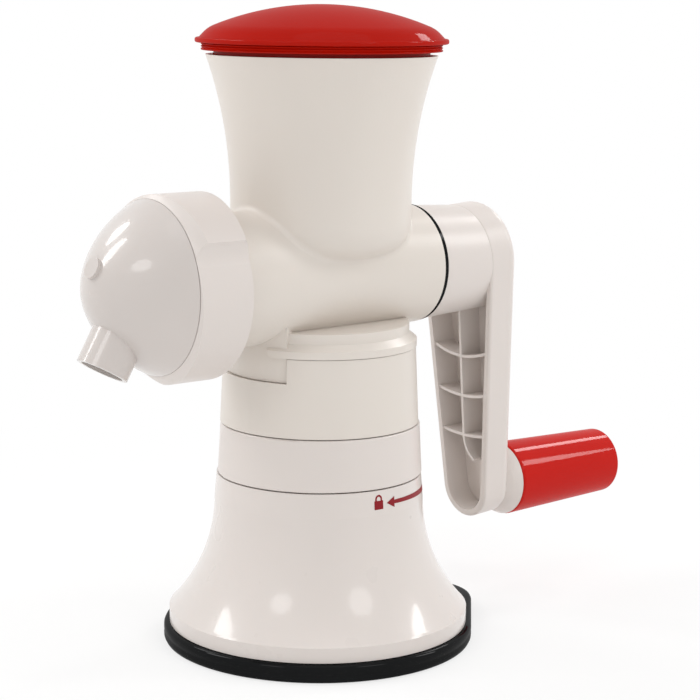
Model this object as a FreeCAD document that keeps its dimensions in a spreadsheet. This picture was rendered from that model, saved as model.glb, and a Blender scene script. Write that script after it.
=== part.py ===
"""Hand crank meat grinder on a suction foot, modelled in millimetres.

The origin is the middle of the suction pad where it meets the worktop. +Z points up,
+X runs along the barrel from the spout towards the crank, and -Y is the side with the
padlock sign. Every driving size is a cell of the sheet Sizes; all other values follow.
"""
import FreeCAD
import Part
import Sketcher
import math
import os

V = FreeCAD.Vector

SIZES = {
    # clearances
    "seam": 0.5,
    "rest_gap": 0.3,
    "run_gap": 0.3,
    "slide_fit": 0.08,
    "seat_fit": 0.05,
    # suction pad
    "pad_radius": 74.5,
    "pad_height": 8.7,
    "pad_round": 2.0,
    "pad_floor": 4.0,
    "tab_tip_radius": 30.0,
    "tab_tip_offset": 60.0,
    "cup_inner_radius": 22.0,
    "cup_outer_radius": 64.0,
    "cup_depth": 2.2,
    "cup_slope": 6.6,
    # bell-shaped base
    "base_rim_radius": 71.8,
    "base_rim_height": 7.0,
    "base_crease": 0.9,
    "base_flare_height": 53.2,
    "base_neck_radius": 50.0,
    "base_neck_height": 11.6,
    "base_neck_draft": 1.0,
    "base_wall": 3.0,
    "deck_thickness": 3.0,
    "tower_radius": 17.0,
    "tower_drop": 14.0,
    # lifting stem and its cross pin
    "stem_radius": 7.0,
    "stem_foot_radius": 12.5,
    "stem_foot_height": 3.6,
    "stem_head_room": 0.8,
    "pin_radius": 3.0,
    "pin_reach": 34.0,
    "pad_pull": 4.0,
    # turning lock ring
    "lock_height": 24.1,
    "lock_foot_radius": 49.2,
    "lock_top_radius": 47.9,
    "lock_back_step": 0.8,
    "lock_wall": 3.6,
    "lock_web": 3.0,
    "lock_turn": 70.0,
    "ramp_lift": 1.2,
    "ramp_inner_radius": 21.0,
    "ramp_margin": 9.0,
    "strap_start": 158.0,
    "strap_sweep": 234.0,
    "strap_corner": 7.0,
    "strap_edge": 0.7,
    # collar that carries the head
    "collar_foot_radius": 47.3,
    "collar_top_radius": 45.6,
    "collar_height": 36.3,
    "collar_bore": 42.4,
    "collar_floor": 3.0,
    "notch_half_angle": 33.0,
    "notch_depth": 11.4,
    "collar_screw_radius": 1.7,
    "collar_screw_offset": 12.0,
    "collar_screw_depth": 12.0,
    "collar_head_radius": 3.6,
    "collar_head_height": 2.4,
    # head casting: foot, barrel and hopper
    "axis_rise": 34.7,
    "spigot_depth": 26.0,
    "spigot_wall": 3.2,
    "foot_recess": 6.0,
    "foot_roof": 7.2,
    "skirt_radius": 44.6,
    "skirt_rise": 7.0,
    "skirt_gap": 0.6,
    "flange_radius": 46.0,
    "flange_height": 11.0,
    "flange_lip": 3.4,
    "flange_slope": 9.4,
    "flange_end_angle": 20.0,
    "flange_end_round": 3.0,
    "bore_radius": 25.2,
    "barrel_wall": 3.6,
    "barrel_swell": 2.8,
    "barrel_rear": 53.4,
    "rear_wall": 8.0,
    "drum_reach": 88.0,
    "drum_length": 18.5,
    "drum_wall": 3.5,
    "drum_shoulder": 2.5,
    "lug_height": 1.9,
    "lug_length": 3.5,
    "lug_setback": 8.0,
    "lug_angle": 30.0,
    "tee_round": 3.0,
    "hopper_radius": 42.5,
    "hopper_wall": 3.0,
    "bowl_foot_radius": 28.5,
    "bowl_foot_rise": 9.0,
    "bowl_rise": 24.0,
    "throat_radius": 24.0,
    "throat_rise": 10.5,
    "hopper_straight": 10.2,
    "flare_height": 66.9,
    "flare_out": 11.4,
    "mouth_seat": 4.0,
    "mouth_fit": 0.6,
    # grinding set
    "plate_radius": 31.0,
    "plate_thickness": 5.0,
    "plate_hole_radius": 3.0,
    "plate_inner_ring": 12.4,
    "plate_outer_ring": 21.7,
    "plate_key_width": 4.0,
    "plate_key_height": 2.5,
    "knife_thickness": 5.4,
    "knife_reach": 28.0,
    "knife_hub_radius": 11.0,
    "knife_blade_width": 9.0,
    "knife_tip_cut": 3.0,
    "knife_taper": 1.5,
    "knife_edge_curve": 42.0,
    "auger_pin_radius": 4.0,
    "auger_square": 10.0,
    "auger_nose_radius": 9.0,
    "auger_tail_radius": 12.5,
    "auger_collar_radius": 20.0,
    "auger_collar_length": 4.0,
    "flight_clearance": 0.6,
    "flight_root": 6.0,
    "flight_tip": 2.6,
    "flight_pitch": 33.0,
    "flight_turns": 2.75,
    "bush_wall": 4.0,
    "bush_flange": 3.0,
    "bush_flange_length": 2.0,
    "washer_thickness": 1.5,
    # shaft
    "shaft_radius": 10.0,
    "tongue_square": 12.0,
    "tongue_length": 21.0,
    "hub_square": 15.0,
    "hub_square_length": 28.0,
    # front ring and spout cover
    "gasket_thickness": 1.0,
    "neck_radius": 34.5,
    "bead_height": 1.3,
    "bead_width": 2.5,
    "lip_thickness": 3.7,
    "ring_length": 27.5,
    "ring_low_radius": 39.6,
    "ring_lobe_rise": 4.4,
    "ring_step_angle": 58.0,
    "ring_step_sweep": 13.0,
    "ring_step_curve": 11.0,
    "ring_rear_round": 6.0,
    "ring_front_round": 1.5,
    "ring_front_run": 12.0,
    "dome_radius": 39.4,
    "dome_length": 31.0,
    "dome_nose_radius": 28.0,
    "dome_wall": 2.6,
    "dome_side_wall": 3.9,
    "spout_angle": 60.0,
    "spout_root": 5.1,
    "spout_start": 14.0,
    "spout_reach": 40.1,
    "spout_radius": 12.0,
    "spout_wall": 2.2,
    "boss_radius": 4.8,
    "boss_rise": 11.0,
    "boss_proud": 1.3,
    "boss_tilt": 24.0,
    # crank
    "seal_thickness": 2.2,
    "seal_width": 3.0,
    "hub_front_radius": 28.0,
    "hub_inset": 1.0,
    "arm_top_radius": 26.6,
    "arm_root": 85.5,
    "arm_thickness": 17.5,
    "arm_lean": 4.1,
    "arm_end_radius": 15.8,
    "arm_edge_round": 5.0,
    "arm_front_round": 1.3,
    "crank_throw": 117.4,
    "pocket_rim": 3.4,
    "pocket_depth": 13.5,
    "rib_width": 1.4,
    "rib_setback": 0.9,
    "rib_first": 50.0,
    "rib_spacing": 20.5,
    "spine_hook_radius": 14.0,
    "spine_hook_start": 210.0,
    "spine_hook_sweep": 60.0,
    "crank_screw_radius": 2.5,
    "crank_screw_depth": 14.0,
    "crank_head_radius": 6.5,
    "crank_head_height": 4.0,
    "crank_recess_radius": 8.5,
    "crank_web": 8.0,
    # turning grip
    "boss_face": 118.3,
    "boss_face_radius": 18.4,
    "boss_flare_curve": 18.8,
    "axle_radius": 4.0,
    "axle_seat": 9.4,
    "grip_inner_radius": 18.7,
    "grip_outer_radius": 16.8,
    "grip_length": 71.5,
    "grip_round": 1.6,
    "grip_cap_radius": 12.0,
    "grip_cap_length": 3.0,
    "grip_well": 12.0,
    "clip_radius": 8.0,
    "clip_thickness": 1.2,
    "axle_stub": 2.0,
    # pusher
    "plug_radius": 50.2,
    "plug_show": 1.9,
    "plug_wall": 3.7,
    "band_radius": 56.0,
    "band_height": 3.4,
    "brim_radius": 58.8,
    "brim_height": 2.4,
    "crown_foot_radius": 57.0,
    "crown_radius": 52.8,
    "crown_height": 4.4,
    "crown_rise": 11.0,
    "lid_wall": 3.0,
    "ledge_width": 2.5,
    "pusher_radius": 37.6,
    "pusher_length": 55.0,
    "pusher_wall": 2.5,
    "pusher_flange": 3.0,
}

PLATE_INNER_HOLES = 6
PLATE_OUTER_HOLES = 12
LOBES = 3
LUGS = 3
RIBS = 3
BLADES = 4
NOSE_SHARE = 0.5
NEAR = 0.01

doc = FreeCAD.newDocument("meat_grinder")
sheet = doc.addObject("Spreadsheet::Sheet", "Sizes")
for row, (alias, number) in enumerate(SIZES.items(), start=1):
    sheet.set("A%d" % row, alias)
    sheet.set("B%d" % row, str(number))
    sheet.setAlias("B%d" % row, alias)
doc.recompute()


class Size:
    """A number with the sheet expression that gives it, so that sums of sizes stay live."""

    def __init__(self, value, text):
        self.value = float(value)
        self.text = text

    def __add__(self, other):
        other = size(other)
        return Size(self.value + other.value, "(%s + %s)" % (self.text, other.text))

    def __sub__(self, other):
        other = size(other)
        return Size(self.value - other.value, "(%s - %s)" % (self.text, other.text))

    def __mul__(self, other):
        other = size(other)
        return Size(self.value * other.value, "(%s * %s)" % (self.text, other.text))

    def __truediv__(self, other):
        other = size(other)
        return Size(self.value / other.value, "(%s / %s)" % (self.text, other.text))

    def __neg__(self):
        return Size(-self.value, "(0 - %s)" % self.text)

    __radd__ = __add__

    def __rsub__(self, other):
        return size(other) - self

    def __rmul__(self, other):
        return size(other) * self


class Sheet:
    """The sheet's cells by name."""

    def __getattr__(self, alias):
        return Size(SIZES[alias], "Sizes.%s" % alias)


def size(value):
    """Any plain number or Size as a Size."""
    return value if isinstance(value, Size) else Size(value, repr(float(value)))


def cosine(angle):
    """Cosine of an angle in degrees."""
    angle = size(angle)
    return Size(math.cos(math.radians(angle.value)), "cos(%s)" % angle.text)


def sine(angle):
    """Sine of an angle in degrees."""
    angle = size(angle)
    return Size(math.sin(math.radians(angle.value)), "sin(%s)" % angle.text)


def root(number):
    """Square root."""
    return Size(math.sqrt(number.value), "sqrt(%s)" % number.text)


def bind(item, **sizes):
    """Tie an object's properties to sizes."""
    for name, value in sizes.items():
        item.setExpression(name, size(value).text)


def place(item, x=0, y=0, z=0, axis=None, angle=0):
    """Put an object at x, y, z, turned by an angle about an axis, all tied to sizes."""
    if axis is not None:
        item.Placement = FreeCAD.Placement(V(), FreeCAD.Rotation(V(*axis), size(angle).value))
        item.setExpression("Placement.Rotation.Angle", size(angle).text)
    for name, value in (("x", x), ("y", y), ("z", z)):
        item.setExpression("Placement.Base.%s" % name, size(value).text)
    return item


class Arc:
    """The arc that leaves an outline's corner: its radius and turn, 1 for anticlockwise."""

    def __init__(self, radius, turn, large=False):
        self.radius = size(radius)
        self.turn = turn
        self.large = large

    def curve(self, start, end):
        """The arc from start to end as a curve of the sketch."""
        chord = end - start
        rise = math.sqrt(max(self.radius.value ** 2 - chord.Length ** 2 / 4, 0))
        side = -self.turn if self.large else self.turn
        left = V(-chord.y, chord.x, 0).normalize()
        centre = (start + end) / 2 + left * rise * side
        first, last = (start, end) if self.turn > 0 else (end, start)
        low = math.atan2(first.y - centre.y, first.x - centre.x)
        high = math.atan2(last.y - centre.y, last.x - centre.x)
        high += 2 * math.pi if high < low else 0
        circle = Part.Circle(centre, V(0, 0, 1), self.radius.value)
        return Part.ArcOfCircle(circle, low, high)


def tangent_arc(run, rise, turn):
    """The arc that starts or ends along the rise and moves sideways by run."""
    return Arc((run * run + rise * rise) / (run * 2), turn)


def cap_arc(run, rise, turn):
    """The arc of a round cap that lies level on the axis and falls by rise over run."""
    return tangent_arc(size(rise), size(run), turn)


def corner(across, up, arc=None):
    """One corner of an outline, with the arc that leaves it if that isn't a line."""
    return size(across), size(up), arc


def new_sketch(body, plane, offset=None, turned=None):
    """An empty sketch on one of the body's own planes, moved along it or turned about its upright."""
    planes = {feature.Role: feature for feature in body.Origin.OriginFeatures}
    sketch = body.newObject("Sketcher::SketchObject", body.Name + "_sketch")
    sketch.AttachmentSupport = [(planes[plane], "")]
    sketch.MapMode = "FlatFace"
    if turned is not None:
        rotation = FreeCAD.Rotation(V(0, 1, 0), size(turned).value)
        sketch.AttachmentOffset = FreeCAD.Placement(V(), rotation)
        sketch.setExpression("AttachmentOffset.Rotation.Angle", size(turned).text)
    if offset is not None:
        sketch.setExpression("AttachmentOffset.Base.z", size(offset).text)
    return sketch


def pin_point(sketch, geometry, end, across, up):
    """Hold one end of a curve at its place in the sketch."""
    for kind, value, axis in (("DistanceX", across, -2), ("DistanceY", up, -1)):
        if value.text == "0.0":
            sketch.addConstraint(Sketcher.Constraint("PointOnObject", geometry, end, axis))
        else:
            rule = Sketcher.Constraint(kind, -1, 1, geometry, end, value.value)
            bind(sketch, **{"Constraints[%d]" % sketch.addConstraint(rule): value})


def draw(sketch, corners):
    """Draw one closed outline through its corners."""
    points = [V(across.value, up.value, 0) for across, up, arc in corners]
    starts = []
    ends = []
    for index, (across, up, arc) in enumerate(corners):
        here = points[index]
        there = points[(index + 1) % len(points)]
        curve = arc.curve(here, there) if arc else Part.LineSegment(here, there)
        geometry = sketch.addGeometry(curve, False)
        forward = arc is None or arc.turn > 0
        starts.append((geometry, 1 if forward else 2))
        ends.append((geometry, 2 if forward else 1))
        if arc:
            rule = Sketcher.Constraint("Radius", geometry, arc.radius.value)
            bind(sketch, **{"Constraints[%d]" % sketch.addConstraint(rule): arc.radius})
    for index, end in enumerate(ends):
        start = starts[(index + 1) % len(starts)]
        sketch.addConstraint(Sketcher.Constraint("Coincident", *end, *start))
    for start, (across, up, arc) in zip(starts, corners):
        pin_point(sketch, *start, across, up)
    return sketch


def draw_circle(sketch, across, up, radius):
    """Draw one full circle."""
    across, up, radius = size(across), size(up), size(radius)
    circle = Part.Circle(V(across.value, up.value, 0), V(0, 0, 1), radius.value)
    geometry = sketch.addGeometry(circle, False)
    rule = Sketcher.Constraint("Radius", geometry, radius.value)
    bind(sketch, **{"Constraints[%d]" % sketch.addConstraint(rule): radius})
    pin_point(sketch, geometry, 3, across, up)
    return sketch


def rectangle(left, right, low, high):
    """The corners of an upright rectangle."""
    return [corner(left, low), corner(right, low), corner(right, high), corner(left, high)]


def new_body(name):
    """An empty body."""
    return doc.addObject("PartDesign::Body", name)


def spin(body, corners, axis, kind="Revolution", angle=360):
    """Turn an outline on the XZ plane about the body's Z (V_Axis) or X (H_Axis)."""
    sketch = draw(new_sketch(body, "XZ_Plane"), corners)
    feature = body.newObject("PartDesign::" + kind, body.Name + "_" + kind.lower())
    feature.Profile = sketch
    feature.ReferenceAxis = (sketch, [axis])
    feature.Angle = size(angle).value
    bind(feature, Angle=angle)
    return feature


def upright(name, corners):
    """A turned body that stands on the Z axis."""
    body = new_body(name)
    spin(body, corners, "V_Axis")
    return body


def lying(name, corners):
    """A turned body along X, on the barrel's axis."""
    body = place(new_body(name), z=axis_height)
    spin(body, corners, "H_Axis")
    return body


def extrude(body, sketch, length, kind="Pad", reverse=False, both=False):
    """Pad or pocket a sketch; a pocket set to both goes through all, either way."""
    feature = body.newObject("PartDesign::" + kind, body.Name + "_" + kind.lower())
    feature.Profile = sketch
    feature.Reversed = reverse
    if both:
        feature.Midplane = True
        feature.Type = "ThroughAll"
    else:
        feature.Length = size(length).value
        bind(feature, Length=length)
    return feature


def polar(body, feature, axis, count):
    """Repeat a feature evenly round one of the body's own axes."""
    axes = {item.Role: item for item in body.Origin.OriginFeatures}
    pattern = body.newObject("PartDesign::PolarPattern", body.Name + "_pattern")
    pattern.Originals = [feature]
    pattern.Axis = (axes[axis], [""])
    pattern.Angle = 360
    pattern.Occurrences = count
    body.Tip = pattern
    return pattern


def round_edges(body, radius, chosen):
    """Round the edges of the body's newest shape that the test picks out."""
    doc.recompute()
    base = body.Tip
    names = ["Edge%d" % (n + 1) for n, edge in enumerate(base.Shape.Edges) if chosen(edge)]
    fillet = body.newObject("PartDesign::Fillet", body.Name + "_fillet")
    fillet.Base = (base, names)
    fillet.Radius = size(radius).value
    bind(fillet, Radius=radius)
    return fillet


def cylinder(name, radius, height, **place_at):
    """A plain cylinder along its own Z."""
    item = doc.addObject("Part::Cylinder", name)
    bind(item, Radius=radius, Height=height)
    return place(item, **place_at)


def fuse(name, *items):
    """Several solids as one."""
    item = doc.addObject("Part::MultiFuse", name)
    item.Shapes = list(items)
    item.Refine = True
    return item


def cut(name, base, tool):
    """One solid less another."""
    item = doc.addObject("Part::Cut", name)
    item.Base = base
    item.Tool = tool
    return item


def common(name, *items):
    """What several solids share."""
    item = doc.addObject("Part::MultiCommon", name)
    item.Shapes = list(items)
    return item


def group(name, items):
    """Like pieces that share one node."""
    item = doc.addObject("Part::Compound", name)
    item.Links = list(items)
    return item


def soften(name, base, radius, chosen):
    """Round the edges of a solid that the test picks out."""
    doc.recompute()
    item = doc.addObject("Part::Fillet", name)
    item.Base = base
    picked = [n + 1 for n, edge in enumerate(base.Shape.Edges) if chosen(edge)]
    item.Edges = [(number, radius.value, radius.value) for number in picked]
    return item


def teardrop(big, small, distance):
    """Outline of two circles in line along the sketch's first axis, and their tangents."""
    slope = (big - small) / distance
    width = root(1 - slope * slope)
    return [
        corner(big * slope, big * width, Arc(big, 1, large=True)),
        corner(big * slope, -(big * width)),
        corner(distance + small * slope, -(small * width), Arc(small, 1)),
        corner(distance + small * slope, small * width),
    ]


def hanging(corners):
    """The same outline hung down the sketch's second axis."""
    return [corner(up, -across, arc) for across, up, arc in corners]


s = Sheet()

# Levels of the column, from the worktop up
base_foot = s.pad_height + s.rest_gap
flare_foot = base_foot + s.base_rim_height + s.base_crease
flare_top = flare_foot + s.base_flare_height
base_top = flare_top + s.base_neck_height
lock_foot = base_top + s.seam
lock_top = lock_foot + s.lock_height
collar_foot = lock_top + s.seam
collar_top = collar_foot + s.collar_height
axis_height = collar_top + s.axis_rise
bowl_top = axis_height + s.bowl_rise
flare_start = bowl_top + s.hopper_straight
rim_top = flare_start + s.flare_height
web_top = lock_foot + s.lock_web
pin_height = web_top + s.ramp_lift + s.pin_radius + s.run_gap
grip_height = axis_height - s.crank_throw

# Places along the barrel, from the spout cover to the grip
drum_front = -s.drum_reach
plate_rear = drum_front + s.plate_thickness
knife_front = plate_rear + s.run_gap
knife_rear = knife_front + s.knife_thickness
chamber_rear = knife_rear + s.seam
neck_end = drum_front - s.gasket_thickness
bead_front = neck_end - s.bead_width
lip_rear = bead_front - s.run_gap
lip_front = lip_rear - s.lip_thickness
dome_seam = lip_front - s.run_gap
ring_rear = lip_front + s.ring_length
drum_rear = drum_front + s.drum_length
bore_rear = s.barrel_rear - s.rear_wall
bush_face = bore_rear - s.bush_flange_length
auger_rear = bush_face - s.washer_thickness - s.run_gap
seal_rear = s.barrel_rear + s.seal_thickness
hub_front = seal_rear + s.run_gap
shaft_end = hub_front + s.hub_square_length
socket_end = shaft_end + s.run_gap
recess_floor = socket_end + s.crank_web
grip_start = s.boss_face + s.run_gap
grip_end = grip_start + s.grip_length
well_floor = grip_end - s.grip_well

# Radii of the grinding end
chamber_radius = s.plate_radius + s.seat_fit
drum_radius = chamber_radius + s.drum_wall
drum_lug_radius = drum_radius + s.lug_height
ring_bore = drum_lug_radius + s.run_gap
ring_lug_radius = drum_radius + s.run_gap


def suction_pad():
    """Black rubber disc with a release tab, a shallow cup below and a well for the stem."""
    body = new_body("suction_pad")
    outline = teardrop(s.pad_radius, s.tab_tip_radius, s.tab_tip_offset)
    extrude(body, draw(new_sketch(body, "XY_Plane"), outline), s.pad_height)
    round_edges(body, s.pad_round, lambda edge: edge.BoundBox.ZLength < NEAR)
    cup = [
        corner(s.cup_inner_radius, 0),
        corner(s.cup_outer_radius, 0),
        corner(s.cup_outer_radius - s.cup_slope, s.cup_depth),
        corner(s.cup_inner_radius + s.cup_depth, s.cup_depth),
    ]
    spin(body, cup, "V_Axis", "Groove")
    well = rectangle(0, s.stem_foot_radius + s.run_gap, s.pad_floor, s.pad_height + s.run_gap)
    spin(body, well, "V_Axis", "Groove")
    return body


def base_shell():
    """White bell with a rim crease, a deck and the guide tower for the lifting stem."""
    crease_radius = s.base_rim_radius - s.base_crease
    flare_run = crease_radius - s.base_neck_radius
    bore = s.stem_radius + s.slide_fit
    inner_neck = s.base_neck_radius - s.base_wall
    inner_rim = crease_radius - s.base_wall
    deck_under = base_top - s.deck_thickness
    body = upright("base_shell", [
        corner(s.base_rim_radius, base_foot),
        corner(s.base_rim_radius, base_foot + s.base_rim_height),
        corner(crease_radius, flare_foot, tangent_arc(flare_run, s.base_flare_height, -1)),
        corner(s.base_neck_radius, flare_top),
        corner(s.base_neck_radius - s.base_neck_draft, base_top),
        corner(s.tower_radius, base_top),
        corner(s.tower_radius, collar_foot),
        corner(bore, collar_foot),
        corner(bore, deck_under - s.tower_drop),
        corner(s.tower_radius, deck_under - s.tower_drop),
        corner(s.tower_radius, deck_under),
        corner(inner_neck - s.base_neck_draft, deck_under),
        corner(inner_neck, flare_top, tangent_arc(flare_run, s.base_flare_height, 1)),
        corner(inner_rim, flare_foot),
        corner(inner_rim, base_foot),
    ])
    half = s.pin_radius + s.slide_fit
    slot = rectangle(-half, half, pin_height - s.pin_radius - s.seam,
                     pin_height + s.pad_pull + s.pin_radius + s.seam)
    extrude(body, draw(new_sketch(body, "XZ_Plane"), slot), 0, "Pocket", both=True)
    holes = new_sketch(body, "XY_Plane", offset=collar_foot)
    for side in (-1, 1):
        draw_circle(holes, s.collar_screw_offset * side, 0, s.collar_screw_radius + s.seat_fit)
    extrude(body, holes, s.collar_screw_depth + s.seam, "Pocket")
    return body


def lift_stem():
    """Steel stem that draws the middle of the pad up; its foot sits in the pad's well."""
    foot = s.pad_floor + s.rest_gap
    top = collar_foot - s.pad_pull - s.stem_head_room
    body = upright("lift_stem", [
        corner(0, foot),
        corner(s.stem_foot_radius, foot),
        corner(s.stem_foot_radius, foot + s.stem_foot_height),
        corner(s.stem_radius, foot + s.stem_foot_height),
        corner(s.stem_radius, top),
        corner(0, top),
    ])
    hole = draw_circle(new_sketch(body, "XZ_Plane"), 0, pin_height, s.pin_radius + s.seat_fit)
    extrude(body, hole, 0, "Pocket", both=True)
    return body


def cross_pin():
    """Pin through the stem whose ends ride on the lock ring's ramps."""
    return cylinder("cross_pin", s.pin_radius, s.pin_reach * 2, y=-s.pin_reach, z=pin_height,
                    axis=(-1, 0, 0), angle=90)


def lock_ring():
    """Turning ring with a thumb strap outside and two helical lifting ramps on its web."""
    core_foot = s.lock_foot_radius - s.lock_back_step
    core_top = s.lock_top_radius - s.lock_back_step
    inner = core_top - s.lock_wall
    body = upright("lock_core", [
        corner(s.tower_radius + s.slide_fit, lock_foot),
        corner(core_foot, lock_foot),
        corner(core_top, lock_top),
        corner(inner, lock_top),
        corner(inner, web_top),
        corner(s.tower_radius + s.slide_fit, web_top),
    ])
    pitch = s.pad_pull * 360 / s.lock_turn
    sweep = s.lock_turn + s.ramp_margin * 2
    ramp_start = web_top + s.ramp_lift - pitch * s.ramp_margin / 360
    profile = new_sketch(body, "XZ_Plane", turned=90 - s.ramp_margin)
    draw(profile, rectangle(s.ramp_inner_radius, s.pin_reach + s.seam, lock_foot + s.seam, ramp_start))
    ramp = body.newObject("PartDesign::AdditiveHelix", "lock_ramp")
    ramp.Profile = profile
    ramp.ReferenceAxis = (profile, ["V_Axis"])
    ramp.Mode = "pitch-height-angle"
    bind(ramp, Pitch=pitch, Height=pitch * sweep / 360)
    polar(body, ramp, "Z_Axis", 2)

    strap_root = inner + s.lock_wall / 2
    strap = new_body("thumb_strap")
    spin(strap, [
        corner(strap_root, lock_foot),
        corner(s.lock_foot_radius, lock_foot),
        corner(s.lock_top_radius, lock_top),
        corner(strap_root, lock_top),
    ], "V_Axis", angle=s.strap_sweep)
    round_edges(strap, s.strap_corner, is_radial)
    outermost = s.lock_top_radius.value - s.lock_back_step.value / 2
    round_edges(strap, s.strap_edge, lambda edge: min(map(reach, edge.Vertexes)) > outermost)
    place(strap, axis=(0, 0, 1), angle=s.strap_start)
    return fuse("lock_ring", body, strap)


def reach(vertex):
    """How far a corner of a solid lies from the Z axis."""
    return math.hypot(vertex.X, vertex.Y)


def is_radial(edge):
    """Whether an edge is a level line that points at the Z axis."""
    first, last = edge.Vertexes[0].Point, edge.Vertexes[-1].Point
    level = abs(first.z - last.z) < NEAR
    in_line = abs(first.x * last.y - first.y * last.x) < NEAR
    return level and in_line and edge.Length > NEAR


def collar():
    """White cup on the tower that takes the head's foot, notched at the front."""
    body = upright("collar", [
        corner(0, collar_foot),
        corner(s.collar_foot_radius, collar_foot),
        corner(s.collar_top_radius, collar_top),
        corner(s.collar_bore, collar_top),
        corner(s.collar_bore, collar_foot + s.collar_floor),
        corner(0, collar_foot + s.collar_floor),
    ])
    wedge = front_wedge(s.notch_half_angle, s.collar_bore / 2, s.collar_foot_radius + s.seam)
    notch = draw(new_sketch(body, "XY_Plane", offset=collar_top), wedge)
    extrude(body, notch, s.notch_depth, "Pocket")
    holes = new_sketch(body, "XY_Plane", offset=collar_foot + s.collar_floor)
    for side in (-1, 1):
        draw_circle(holes, s.collar_screw_offset * side, 0, s.collar_screw_radius + s.seat_fit)
    extrude(body, holes, s.collar_floor + s.seam, "Pocket")
    return body


def front_wedge(half_angle, near, far):
    """Outline that opens towards the front, -X, from one distance to another."""
    spread = sine(half_angle) / cosine(half_angle)
    return [
        corner(-near, -(near * spread)),
        corner(-near, near * spread),
        corner(-far, far * spread),
        corner(-far, -(far * spread)),
    ]


def collar_screws():
    """Two pan-head screws that hold the collar to the tower."""
    seat = collar_foot + s.collar_floor
    screws = []
    for side in (-1, 1):
        screw = upright("collar_screw", [
            corner(0, collar_foot - s.collar_screw_depth),
            corner(s.collar_screw_radius, collar_foot - s.collar_screw_depth),
            corner(s.collar_screw_radius, seat),
            corner(s.collar_head_radius, seat, cap_arc(s.collar_head_radius, s.collar_head_height, 1)),
            corner(0, seat + s.collar_head_height),
        ])
        screws.append(place(screw, x=s.collar_screw_offset * side))
    return group("collar_screws", screws)


def ring_sector(name, corners, angle):
    """A lug: part of a turn about the barrel's axis, starting at the top towards +Y."""
    body = new_body(name)
    spin(body, corners, "H_Axis", angle=angle)
    return body


def bayonet(name, left, right, low, high):
    """Three like lugs round the barrel's axis."""
    lugs = []
    for index in range(LUGS):
        lug = ring_sector(name, rectangle(left, right, low, high), s.lug_angle)
        lugs.append(place(lug, z=axis_height, axis=(1, 0, 0), angle=s.lug_angle + 360 / LUGS * index))
    return lugs


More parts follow.
